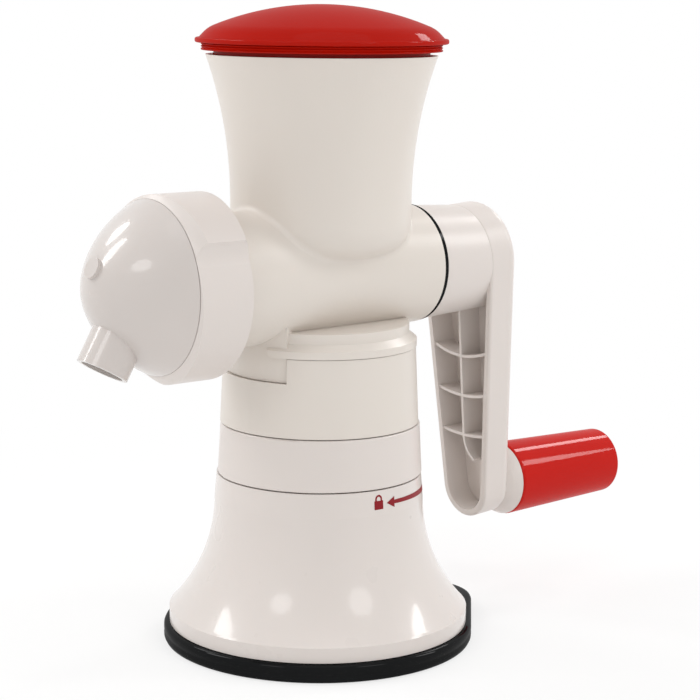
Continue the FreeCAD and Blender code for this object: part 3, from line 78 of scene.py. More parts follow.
@dataclass(frozen=True)
class Finish:
    """One procedural finish of the grinder.

    Attributes:
        name: name of the material.
        colour: main colour, scene linear.
        shade: colour that the main one drifts towards in broad soft patches.
        roughness: middle of the roughness, which varies a little over the surface.
        drift: how far the roughness moves either way.
        grain: size of the surface grain in metres.
        relief: height of the grain in metres.
        metallic: 1 for bare metal.
        specular: strength of the plain reflection.
        coat: strength of the clear polished skin.
        coat_roughness: roughness of that skin.
        translucence: share of the light that spreads under the surface.
        bleed: the shader's subsurface radius for red, green and blue.
        patch: size of one soft patch of colour in metres.
        wear: size of one patch of changed roughness in metres.
        surface: how the grain runs.
    """

    name: str
    colour: Colour
    shade: Colour
    roughness: float
    drift: float = 0.03
    grain: float = 0.0012
    relief: float = 0.00002
    metallic: float = 0.0
    specular: float = 0.5
    coat: float = 0.0
    coat_roughness: float = 0.05
    translucence: float = 0.0
    bleed: Colour = (0.004, 0.003, 0.0025)
    patch: float = 0.05
    wear: float = 0.02
    surface: Surface = Surface.MOULDED

    def material(self) -> bpy.types.Material:
        """Builds the material once and returns it from then on.

        Returns:
            The node material of this finish.
        """
        made = bpy.data.materials.get(self.name)
        if made is not None:
            return made
        made = bpy.data.materials.new(self.name)
        made.use_nodes = True
        tree = made.node_tree
        shader = tree.nodes["Principled BSDF"]
        shader.inputs["Metallic"].default_value = self.metallic
        shader.inputs["Specular IOR Level"].default_value = self.specular
        shader.inputs["Coat Weight"].default_value = self.coat
        shader.inputs["Coat Roughness"].default_value = self.coat_roughness
        shader.inputs["Subsurface Weight"].default_value = self.translucence
        shader.inputs["Subsurface Radius"].default_value = self.bleed
        place = tree.nodes.new("ShaderNodeTexCoord").outputs["Object"]
        self._colour_patches(tree, place, shader)
        self._roughness_drift(tree, place, shader)
        if self.surface is not Surface.PRINTED:
            self._grain_relief(tree, place, shader)
        return made

    def _noise(self, tree: bpy.types.NodeTree, place: bpy.types.NodeSocket, size: float,
               detail: float) -> bpy.types.NodeSocket:
        """Adds a noise of a given feature size.

        Args:
            tree: the material's tree.
            place: the coordinates to read.
            size: size of one blot in metres.
            detail: octaves of finer noise.

        Returns:
            The noise's factor socket.
        """
        noise = tree.nodes.new("ShaderNodeTexNoise")
        noise.inputs["Scale"].default_value = 1.0 / size
        noise.inputs["Detail"].default_value = detail
        tree.links.new(place, noise.inputs["Vector"])
        return noise.outputs["Fac"]

    def _colour_patches(self, tree: bpy.types.NodeTree, place: bpy.types.NodeSocket,
                        shader: bpy.types.ShaderNode) -> None:
        """Mixes the colour and its shade in broad soft patches.

        Args:
            tree: the material's tree.
            place: the coordinates to read.
            shader: the shader to feed.
        """
        mix = tree.nodes.new("ShaderNodeMix")
        mix.data_type = "RGBA"
        mix.inputs["A"].default_value = (*self.colour, 1.0)
        mix.inputs["B"].default_value = (*self.shade, 1.0)
        tree.links.new(self._noise(tree, place, self.patch, detail=2.0), mix.inputs["Factor"])
        tree.links.new(mix.outputs["Result"], shader.inputs["Base Color"])

    def _roughness_drift(self, tree: bpy.types.NodeTree, place: bpy.types.NodeSocket,
                         shader: bpy.types.ShaderNode) -> None:
        """Lets the roughness wander a little, as handling leaves it.

        Args:
            tree: the material's tree.
            place: the coordinates to read.
            shader: the shader to feed.
        """
        spread = tree.nodes.new("ShaderNodeMapRange")
        spread.inputs["From Min"].default_value = NOISE_RANGE[0]
        spread.inputs["From Max"].default_value = NOISE_RANGE[1]
        spread.inputs["To Min"].default_value = self.roughness - self.drift
        spread.inputs["To Max"].default_value = self.roughness + self.drift
        tree.links.new(self._noise(tree, place, self.wear, detail=3.0), spread.inputs["Value"])
        tree.links.new(spread.outputs["Result"], shader.inputs["Roughness"])

    def _grain_relief(self, tree: bpy.types.NodeTree, place: bpy.types.NodeSocket,
                      shader: bpy.types.ShaderNode) -> None:
        """Adds the grain as a bump, which brushed metal has drawn out in lines.

        Args:
            tree: the material's tree.
            place: the coordinates to read.
            shader: the shader to feed.
        """
        source = place
        if self.surface is Surface.BRUSHED:
            stretch = tree.nodes.new("ShaderNodeMapping")
            stretch.inputs["Scale"].default_value = BRUSHED_SCALE
            tree.links.new(place, stretch.inputs["Vector"])
            source = stretch.outputs["Vector"]
        bump = tree.nodes.new("ShaderNodeBump")
        bump.inputs["Strength"].default_value = 1.0
        bump.inputs["Distance"].default_value = self.relief
        tree.links.new(self._noise(tree, source, self.grain, detail=2.0), bump.inputs["Height"])
        tree.links.new(bump.outputs["Normal"], shader.inputs["Normal"])


SATIN_WHITE = Finish("satin_white", (0.75, 0.70, 0.645), (0.73, 0.675, 0.62), 0.36, specular=0.35,
                     coat=0.08, coat_roughness=0.2, translucence=0.05)
ROSY_WHITE = Finish("rosy_white", (0.74, 0.685, 0.65), (0.72, 0.665, 0.63), 0.34, specular=0.35,
                    coat=0.08, coat_roughness=0.2, translucence=0.05)
GLOSS_WHITE = Finish("gloss_white", (0.735, 0.68, 0.645), (0.715, 0.66, 0.625), 0.3, relief=0.000006,
                     specular=0.25, coat=0.6, coat_roughness=0.1, translucence=0.05)
# The dome is the same white plastic as the base; its colour is set darker as painted shade, not as a
# different plastic.
DOME_WHITE_PAINTED_SHADE = Finish("dome_white_painted_shade", (0.65, 0.60, 0.57), (0.63, 0.58, 0.55), 0.3, relief=0.000006,
                    specular=0.25, coat=0.7, coat_roughness=0.09, translucence=0.05)
LID_RED = Finish("lid_red", (0.46, 0.008, 0.002), (0.41, 0.007, 0.002), 0.3, relief=0.000006,
                 specular=0.0, coat=0.16, coat_roughness=0.06)
GRIP_RED = Finish("grip_red", (0.56, 0.007, 0.002), (0.50, 0.006, 0.002), 0.3, relief=0.000006,
                  specular=0.0, coat=0.34, coat_roughness=0.06)
BLACK_RUBBER = Finish("polished_rubber", (0.004, 0.0045, 0.005), (0.006, 0.0065, 0.007), 0.35,
                      drift=0.05, grain=0.0008, relief=0.00001, specular=0.0, coat=0.2,
                      coat_roughness=0.06)
NATURAL_NYLON = Finish("natural_nylon", (0.72, 0.70, 0.64), (0.68, 0.66, 0.60), 0.45,
                       translucence=0.1)
GROUND_STEEL = Finish("ground_steel", (0.56, 0.57, 0.58), (0.48, 0.49, 0.50), 0.28, grain=0.0006,
                      metallic=1.0, surface=Surface.BRUSHED)
DARK_RED_INK = Finish("dark_red_ink", (0.27, 0.010, 0.016), (0.24, 0.008, 0.014), 0.4, specular=0.2,
                      surface=Surface.PRINTED)


def dress(finish: Finish, *nodes: str) -> None:
    """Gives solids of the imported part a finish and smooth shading.

    Args:
        finish: the finish to use.
        nodes: names of the nodes.
    """
    for name in nodes:
        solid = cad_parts[name]
        solid.data.materials.clear()
        solid.data.materials.append(finish.material())
        solid.data.shade_smooth()
        LOG.info("%s: %s", name, finish.name)


def new_piece(name: str, mesh: bpy.types.Mesh, finish: Finish, body: str) -> bpy.types.Object:
    """Adds a finished piece that rides on a body.

    Args:
        name: name of the piece.
        mesh: its mesh, with its place in it.
        finish: its finish.
        body: the body it rides on.

    Returns:
        The new object.
    """
    piece = bpy.data.objects.new(name, mesh)
    bpy.context.scene.collection.objects.link(piece)
    if not mesh.materials:
        mesh.materials.append(finish.material())
    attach(piece, body)
    LOG.info("%s: %s on %s", name, finish.name, body)
    return piece


def lofted(name: str, rings: Sequence[Sequence[Vector]], start: Vector,
           end: Vector) -> bpy.types.Mesh:
    """Skins a row of rings with as many points each, and closes both ends on a point.

    Args:
        name: name of the mesh.
        rings: the rings in order.
        start: the point that closes the first ring.
        end: the point that closes the last ring.

    Returns:
        The closed, smooth mesh, facing outwards.
    """
    mesh = bpy.data.meshes.new(name)
    work = bmesh.new()
    rows = [[work.verts.new(point) for point in ring] for ring in rings]
    around = len(rows[0])
    first = work.verts.new(start)
    last = work.verts.new(end)
    for k in range(around):
        after = (k + 1) % around
        for lower, upper in zip(rows, rows[1:]):
            work.faces.new((lower[k], lower[after], upper[after], upper[k]))
        work.faces.new((rows[0][after], rows[0][k], first))
        work.faces.new((rows[-1][k], rows[-1][after], last))
    bmesh.ops.recalc_face_normals(work, faces=work.faces)
    work.to_mesh(mesh)
    work.free()
    mesh.shade_smooth()
    return mesh


def circle(radius: float, around: int) -> list[Point]:
    """Points of a circle about the origin.

    Args:
        radius: its radius.
        around: how many points it has.

    Returns:
        The points in order.
    """
    turn = 2.0 * math.pi / around
    return [(radius * math.cos(turn * k), radius * math.sin(turn * k)) for k in range(around)]


def level_ring(points: Sequence[Point], height: float) -> list[Vector]:
    """Lays an outline at a height.

    Args:
        points: the outline as seen from above.
        height: its height.

    Returns:
        The outline's points in space.
    """
    return [Vector((x, y, height)) for x, y in points]


def math_node(tree: bpy.types.NodeTree, operation: str, first: Term,
              second: Term = 0.0) -> bpy.types.NodeSocket:
    """Adds one sum to a node tree.

    Args:
        tree: the tree.
        operation: the kind of sum, by Blender's name for it.
        first: its first term, a socket or a number.
        second: its second term, where it has one.

    Returns:
        The socket with the result.
    """
    node = tree.nodes.new("ShaderNodeMath")
    node.operation = operation
    for socket, term in zip(node.inputs, (first, second)):
        if isinstance(term, bpy.types.NodeSocket):
            tree.links.new(term, socket)
        else:
            socket.default_value = term
    return node.outputs["Value"]


def holder_for(mesh: bpy.types.Mesh) -> bpy.types.Object:
    """Puts a mesh in the scene for a while, so that modifiers can work on it.

    Args:
        mesh: the mesh.

    Returns:
        The object that holds it.
    """
    holder = bpy.data.objects.new(mesh.name + "_holder", mesh)
    bpy.context.scene.collection.objects.link(holder)
    return holder


def modified(name: str, holder: bpy.types.Object) -> bpy.types.Mesh:
    """Keeps what an object's modifiers make of it as a plain mesh.

    Args:
        name: name of the new mesh.
        holder: the object with its modifiers.

    Returns:
        The plain mesh.
    """
    graph = bpy.context.evaluated_depsgraph_get()
    graph.update()
    result = bpy.data.meshes.new_from_object(holder.evaluated_get(graph))
    result.name = name
    return result


def evaluated(name: str, mesh: bpy.types.Mesh, tree: bpy.types.NodeTree,
              values: dict[str, object]) -> bpy.types.Mesh:
    """Runs a mesh through a geometry node tree.

    Args:
        name: name of the new mesh.
        mesh: what goes in.
        tree: the geometry node tree.
        values: the tree's named inputs.

    Returns:
        The plain mesh that comes out.
    """
    holder = holder_for(mesh)
    modifier = holder.modifiers.new(tree.name, "NODES")
    modifier.node_group = tree
    for item in tree.interface.items_tree:
        if item.item_type == "SOCKET" and item.in_out == "INPUT" and item.name in values:
            modifier[item.identifier] = values[item.name]
    result = modified(name, holder)
    holder.modifiers.clear()
    bpy.data.objects.remove(holder)
    return result


def cut_out(name: str, whole: bpy.types.Mesh, tool: bpy.types.Mesh) -> bpy.types.Mesh:
    """Takes one closed mesh out of another.

    Args:
        name: name of the result.
        whole: the mesh to cut.
        tool: what is cut away.

    Returns:
        The cut mesh.
    """
    holder = holder_for(whole)
    cutter = holder_for(tool)
    modifier = holder.modifiers.new("cut", "BOOLEAN")
    modifier.operation = "DIFFERENCE"
    modifier.solver = "EXACT"
    modifier.use_self = True
    modifier.object = cutter
    result = modified(name, holder)
    for used in (holder, cutter):
        bpy.data.objects.remove(used)
    return result


def face_outwards(mesh: bpy.types.Mesh) -> None:
    """Turns the faces of an open sheet so that they look away from the Z axis.

    Args:
        mesh: the sheet.
    """
    work = bmesh.new()
    work.from_mesh(mesh)
    inward = []
    for face in work.faces:
        middle = face.calc_center_median()
        if face.normal.dot(Vector((middle.x, middle.y, 0.0))) < 0.0:
            inward.append(face)
    bmesh.ops.reverse_faces(work, faces=inward)
    work.to_mesh(mesh)
    work.free()


@dataclass
class SuctionPad:
    """Black rubber foot: a disc with a release tab, a softly waisted edge and a cup underneath.

    The two bulges and the waist between them are given by the heights where each starts and ends. The
    slope of the cup is its run for each rise at the outer edge.
    """

    radius: float = 74.5 * MM
    tab_radius: float = 30.0 * MM
    tab_distance: float = 60.0 * MM
    height: float = 8.7 * MM
    edge_roll: float = 2.0 * MM
    corner_inset: float = 0.6 * MM
    corner_rise: float = 0.5 * MM
    bulge_slack: float = 0.05 * MM
    lower_bulge: Point = (1.6 * MM, 2.6 * MM)
    waist: Point = (3.6 * MM, 4.2 * MM)
    waist_depth: float = 0.5 * MM
    upper_bulge: Point = (5.2 * MM, 7.0 * MM)
    cup_inner: float = 22.0 * MM
    cup_outer: float = 64.0 * MM
    cup_depth: float = 2.2 * MM
    cup_slope: float = 3.0
    well_radius: float = 12.8 * MM
    well_floor: float = 4.0 * MM
    around: int = 192

    def edge_profile(self) -> list[Point]:
        """The waisted edge from the foot up.

        Returns:
            How far each ring lies inside the outline, and its height.
        """
        return [
            (self.edge_roll, 0.0),
            (self.corner_inset, self.corner_rise),
            (self.bulge_slack, self.lower_bulge[0]),
            (0.0, self.lower_bulge[1]),
            (self.waist_depth, self.waist[0]),
            (self.waist_depth, self.waist[1]),
            (0.0, self.upper_bulge[0]),
            (self.bulge_slack, self.upper_bulge[1]),
            (self.corner_inset, self.height - self.corner_rise),
            (self.edge_roll, self.height),
        ]

    def outline(self, inset: float) -> list[Point]:
        """The pad's outline, moved inwards.

        Args:
            inset: how far inside the real edge.

        Returns:
            Points round the disc and its tab, evenly spread by angle about the disc's middle.
        """
        big = self.radius - inset
        small = self.tab_radius - inset
        slope = (self.radius - self.tab_radius) / self.tab_distance
        width = math.sqrt(1.0 - slope * slope)
        points = []
        for step in range(self.around):
            angle = 2.0 * math.pi * step / self.around
            direction = Vector((math.cos(angle), math.sin(angle)))
            reach = big
            if direction.x > 0.0:
                along = direction.x * self.tab_distance
                inside = small * small - self.tab_distance * self.tab_distance + along * along
                tangent = big / (slope * direction.x + width * abs(direction.y))
                on_side = tangent * Vector((direction.x, abs(direction.y)))
                run = on_side.x * width - on_side.y * slope
                if 0.0 < run < self.tab_distance * width:
                    reach = max(reach, tangent)
                elif run >= self.tab_distance * width and inside > 0.0:
                    reach = max(reach, along + math.sqrt(inside))
            points.append((direction.x * reach, direction.y * reach))
        return points

    def rings(self) -> list[list[Vector]]:
        """Every ring of the pad, from the middle of its underside over the edge to its well.

        Returns:
            The rings in order, each with as many points.
        """
        underside = (
            (self.cup_inner / 2.0, 0.0),
            (self.cup_inner, 0.0),
            (self.cup_inner + self.cup_depth, self.cup_depth),
            (self.cup_outer - self.cup_slope * self.cup_depth, self.cup_depth),
            (self.cup_outer, 0.0),
        )
        upper_side = (
            (self.cup_outer, self.height),
            (self.well_radius, self.height),
            (self.well_radius, self.well_floor),
            (self.well_radius / 2.0, self.well_floor),
        )
        rings = [level_ring(circle(radius, self.around), z) for radius, z in underside]
        rings += [level_ring(self.outline(inset), z) for inset, z in self.edge_profile()]
        rings += [level_ring(circle(radius, self.around), z) for radius, z in upper_side]
        return rings

    def build(self) -> bpy.types.Object:
        """Builds the rubber pad in place of its plain solid.

        Returns:
            The finished piece.
        """
        underside = Vector((0.0, 0.0, 0.0))
        well = Vector((0.0, 0.0, self.well_floor))
        mesh = lofted("suction_pad_rubber", self.rings(), underside, well)
        piece = new_piece("suction_pad_rubber", mesh, BLACK_RUBBER, "base")
        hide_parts("suction_pad")
        return piece


@dataclass
class LockSign:
    """Padlock and arrow printed in dark red on the neck of the base, wrapped on by a node tree.

    Angles are degrees about the Z axis from +X. The padlock's body and the straight part of its shackle
    are shares of its height, and the shackle's two sides are shares of half its width. The shaft starts
    at a share of the arrow head's length.
    """

    neck_radius: float = 50.0 * MM
    neck_foot: float = 70.1 * MM
    neck_height: float = 11.6 * MM
    neck_draft: float = 1.0 * MM
    lift: float = 0.06 * MM
    padlock_angle: float = -94.0
    padlock_foot: float = 72.9 * MM
    padlock_width: float = 5.0 * MM
    padlock_height: float = 7.2 * MM
    body_share: float = 0.56
    shackle_outer: float = 0.78
    shackle_inner: float = 0.42
    shackle_straight: float = 0.12
    shackle_steps: int = 14
    arrow_tip_angle: float = -88.7
    arrow_tip_height: float = 75.3 * MM
    arrow_end_angle: float = -42.0
    arrow_end_height: float = 74.6 * MM
    head_length: float = 5.0 * MM
    head_half_width: float = 2.6 * MM
    shaft_start: float = 0.9
    shaft_half_width: float = 0.9 * MM
    shaft_growth: float = 0.5 * MM
    shaft_steps: int = 40
    longest_edge: float = 1.5 * MM
    edge_cuts: int = 3

    def along(self, angle: float) -> float:
        """Distance round the neck from its +X side for an angle in degrees."""
        return math.radians(angle) * self.neck_radius

    def padlock(self) -> list[list[Point]]:
        """The padlock: its body and the band of its shackle.

        Returns:
            Closed strips of points, round the neck and up.
        """
        middle = self.along(self.padlock_angle)
        half = self.padlock_width / 2.0
        body_top = self.padlock_foot + self.padlock_height * self.body_share
        body = [
            (middle - half, self.padlock_foot),
            (middle + half, self.padlock_foot),
            (middle + half, body_top),
            (middle - half, body_top),
        ]
        outer = half * self.shackle_outer
        inner = half * self.shackle_inner
        straight = body_top + self.padlock_height * self.shackle_straight
        outside = [(middle + outer, body_top)]
        inside = [(middle + inner, body_top)]
        for k in range(self.shackle_steps + 1):
            turn = math.pi * k / self.shackle_steps
            outside.append((middle + outer * math.cos(turn), straight + outer * math.sin(turn)))
            inside.append((middle + inner * math.cos(turn), straight + inner * math.sin(turn)))
        outside.append((middle - outer, body_top))
        inside.append((middle - inner, body_top))
        strips = [body]
        for k in range(len(outside) - 1):
            strips.append([outside[k], outside[k + 1], inside[k + 1], inside[k]])
        return strips

    def arrow(self) -> list[list[Point]]:
        """The arrow: its head and its shaft, which widens towards the tail.

        Returns:
            Closed strips of points, round the neck and up.
        """
        tip = Vector((self.along(self.arrow_tip_angle), self.arrow_tip_height))
        end = Vector((self.along(self.arrow_end_angle), self.arrow_end_height))
        ahead = (end - tip).normalized()
        aside = Vector((-ahead.y, ahead.x))
        back = tip + ahead * self.head_length
        barb = aside * self.head_half_width
        strips = [[tuple(tip), tuple(back - barb), tuple(back + barb)]]
        start = tip + ahead * self.head_length * self.shaft_start
        for k in range(self.shaft_steps):
            near_share = k / self.shaft_steps
            far_share = (k + 1) / self.shaft_steps
            near = start.lerp(end, near_share)
            far = start.lerp(end, far_share)
            near_half = aside * (self.shaft_half_width + self.shaft_growth * near_share)
            far_half = aside * (self.shaft_half_width + self.shaft_growth * far_share)
            corners = (near - near_half, far - far_half, far + far_half, near + near_half)
            strips.append([tuple(corner) for corner in corners])
        return strips

    def flat_mesh(self) -> bpy.types.Mesh:
        """The sign laid out flat: X is the distance round the neck, Z the height.

        Returns:
            The flat mesh, cut fine enough to bend.
        """
        mesh = bpy.data.meshes.new("lock_sign_flat")
        work = bmesh.new()
        for strip in self.padlock() + self.arrow():
            work.faces.new([work.verts.new((across, 0.0, up)) for across, up in strip])
        bmesh.ops.remove_doubles(work, verts=work.verts, dist=WELD)
        long_edges = [edge for edge in work.edges if edge.calc_length() > self.longest_edge]
        bmesh.ops.subdivide_edges(work, edges=long_edges, cuts=self.edge_cuts, use_grid_fill=True)
        bmesh.ops.triangulate(work, faces=work.faces)
        work.to_mesh(mesh)
        work.free()
        return mesh

    def wrap_tree(self) -> bpy.types.NodeTree:
        """Node tree that rolls a flat sign on to the drafted neck.

        Returns:
            A geometry node tree with the neck's sizes as its inputs.
        """
        tree = bpy.data.node_groups.new("wrap_on_neck", "GeometryNodeTree")
        tree.interface.new_socket("Geometry", in_out="INPUT", socket_type="NodeSocketGeometry")
        for name in ("Neck radius", "Neck foot", "Neck height", "Neck draft", "Lift"):
            tree.interface.new_socket(name, in_out="INPUT", socket_type="NodeSocketFloat")
        tree.interface.new_socket("Ink", in_out="INPUT", socket_type="NodeSocketMaterial")
        tree.interface.new_socket("Geometry", in_out="OUTPUT", socket_type="NodeSocketGeometry")
        given = tree.nodes.new("NodeGroupInput").outputs
        result = tree.nodes.new("NodeGroupOutput")
        position = tree.nodes.new("GeometryNodeInputPosition")
        split = tree.nodes.new("ShaderNodeSeparateXYZ")
        tree.links.new(position.outputs["Position"], split.inputs["Vector"])
        above_foot = math_node(tree, "SUBTRACT", split.outputs["Z"], given["Neck foot"])
        share = math_node(tree, "DIVIDE", above_foot, given["Neck height"])
        inward = math_node(tree, "MULTIPLY", share, given["Neck draft"])
        skin = math_node(tree, "SUBTRACT", given["Neck radius"], inward)
        radius = math_node(tree, "ADD", skin, given["Lift"])
        angle = math_node(tree, "DIVIDE", split.outputs["X"], given["Neck radius"])
        join = tree.nodes.new("ShaderNodeCombineXYZ")
        for axis, operation in (("X", "COSINE"), ("Y", "SINE")):
            direction = math_node(tree, operation, angle)
            tree.links.new(math_node(tree, "MULTIPLY", radius, direction), join.inputs[axis])
        tree.links.new(split.outputs["Z"], join.inputs["Z"])
        wrap = tree.nodes.new("GeometryNodeSetPosition")
        tree.links.new(given["Geometry"], wrap.inputs["Geometry"])
        tree.links.new(join.outputs["Vector"], wrap.inputs["Position"])
        real = tree.nodes.new("GeometryNodeRealizeInstances")
        paint = tree.nodes.new("GeometryNodeSetMaterial")
        tree.links.new(wrap.outputs["Geometry"], real.inputs["Geometry"])
        tree.links.new(real.outputs["Geometry"], paint.inputs["Geometry"])
        tree.links.new(given["Ink"], paint.inputs["Material"])
        tree.links.new(paint.outputs["Geometry"], result.inputs["Geometry"])
        return tree

    def build(self) -> bpy.types.Object:
        """Prints the sign on the base.

        Returns:
            The finished piece.
        """
        values = {
            "Neck radius": self.neck_radius,
            "Neck foot": self.neck_foot,
            "Neck height": self.neck_height,
            "Neck draft": self.neck_draft,
            "Lift": self.lift,
            "Ink": DARK_RED_INK.material(),
        }
        mesh = evaluated("lock_sign", self.flat_mesh(), self.wrap_tree(), values)
        face_outwards(mesh)
        return new_piece("lock_sign", mesh, DARK_RED_INK, "base")


@dataclass
class Foot:
    """Base, lock ring and collar with the lifting gear inside."""

    pad: SuctionPad
    sign: LockSign

    def build(self) -> None:
        """Builds the pad and the sign and dresses the foot's solids."""
        self.pad.build()
        dress(GLOSS_WHITE, "base_shell")
        dress(ROSY_WHITE, "lock_ring")
        dress(SATIN_WHITE, "collar")
        dress(GROUND_STEEL, "lift_stem", "cross_pin", "collar_screws")
        self.sign.build()


@dataclass
class Head:
    """Hopper and barrel with the grinding set, the hand ring and the spout cover."""

    def build(self) -> None:
        """Dresses the head's solids."""
        dress(SATIN_WHITE, "hopper_body", "hopper_cup")
        dress(ROSY_WHITE, "retaining_ring")
        # The dome's darker white is painted shade.
        dress(DOME_WHITE_PAINTED_SHADE, "nozzle_dome")
        dress(NATURAL_NYLON, "auger", "rear_bush", "thrust_washer")
        dress(GROUND_STEEL, "knife", "grinding_plate", "drive_shaft")
        dress(BLACK_RUBBER, "nozzle_gasket", "seal_ring")


@dataclass
class CrankScrew:
    """Pan-head screw with a cross recess, seen in the hollow of the arm's outer face."""

    head_height: float = 4.0 * MM
    rim_height: float = 1.8 * MM
    edge_round: float = 0.5 * MM
    shank_radius: float = 2.5 * MM
    cross_width: float = 1.3 * MM
    cross_reach: float = 3.4 * MM
    cross_depth: float = 2.0 * MM
    crown_steps: int = 12
    around: int = 72

    def profile(self, tip: float, top: float, radius: float) -> list[Point]:
        """Outline of the screw as places along its axis with their radii, from the tip to the crown.

        Args:
            tip: place of the shank's end.
            top: place of the crown.
            radius: radius of the head.

        Returns:
            The outline without its two end points on the axis.
        """
        seat = top - self.head_height
        rim = seat + self.rim_height
        outline = [
            (tip, self.shank_radius - self.edge_round),
            (tip + self.edge_round, self.shank_radius),
            (seat, self.shank_radius),
            (seat, radius - self.edge_round),
            (seat + self.edge_round, radius),
            (rim, radius),
        ]
        for k in range(1, self.crown_steps):
            turn = k / self.crown_steps * math.pi / 2.0
            outline.append((rim + (top - rim) * math.sin(turn), radius * math.cos(turn)))
        return outline

    def cross(self, top: float, height: float) -> bpy.types.Mesh:
        """Two crossed bars that sink the recess.

        Args:
            top: place of the crown along the axis.
            height: height of the axis above the worktop.

        Returns:
            The mesh of the bars.
        """
        mesh = bpy.data.meshes.new("screw_cross")
        work = bmesh.new()
        place = Matrix.Translation((top, 0.0, height))
        bar = (self.cross_width, 2.0 * self.cross_reach)
        for sizes in (bar, bar[::-1]):
            scale = Matrix.Diagonal((2.0 * self.cross_depth, *sizes, 1.0))
            bmesh.ops.create_cube(work, size=1.0, matrix=place @ scale)
        work.to_mesh(mesh)
        work.free()
        return mesh

    def build(self) -> bpy.types.Object:
        """Builds the screw in place of its plain solid.

        Returns:
            The finished piece.
        """
        low, high = (Vector(corner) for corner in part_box("crank_screw"))
        tip, top = low.x, high.x
        height = (low.z + high.z) / 2.0
        rings = []
        for x, radius in self.profile(tip, top, (high.z - low.z) / 2.0):
            rings.append([Vector((x, y, height + z)) for y, z in circle(radius, self.around)])
        whole = lofted("screw_whole", rings, Vector((tip, 0.0, height)), Vector((top, 0.0, height)))
        mesh = cut_out("crank_screw_cross", whole, self.cross(top, height))
        mesh.set_sharp_from_angle(angle=SHARP_ANGLE)
        piece = new_piece("crank_screw_cross", mesh, GROUND_STEEL, "crank")
        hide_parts("crank_screw")
        return piece


@dataclass
class Crank:
    """Ribbed arm with its turning grip."""

    screw: CrankScrew

    def build(self) -> None:
        """Builds the screw and dresses the crank's solids."""
        dress(ROSY_WHITE, "crank_arm")
        dress(GRIP_RED, "grip_sleeve", "grip_cap")
        dress(GROUND_STEEL, "grip_axle", "grip_clip")
        self.screw.build()


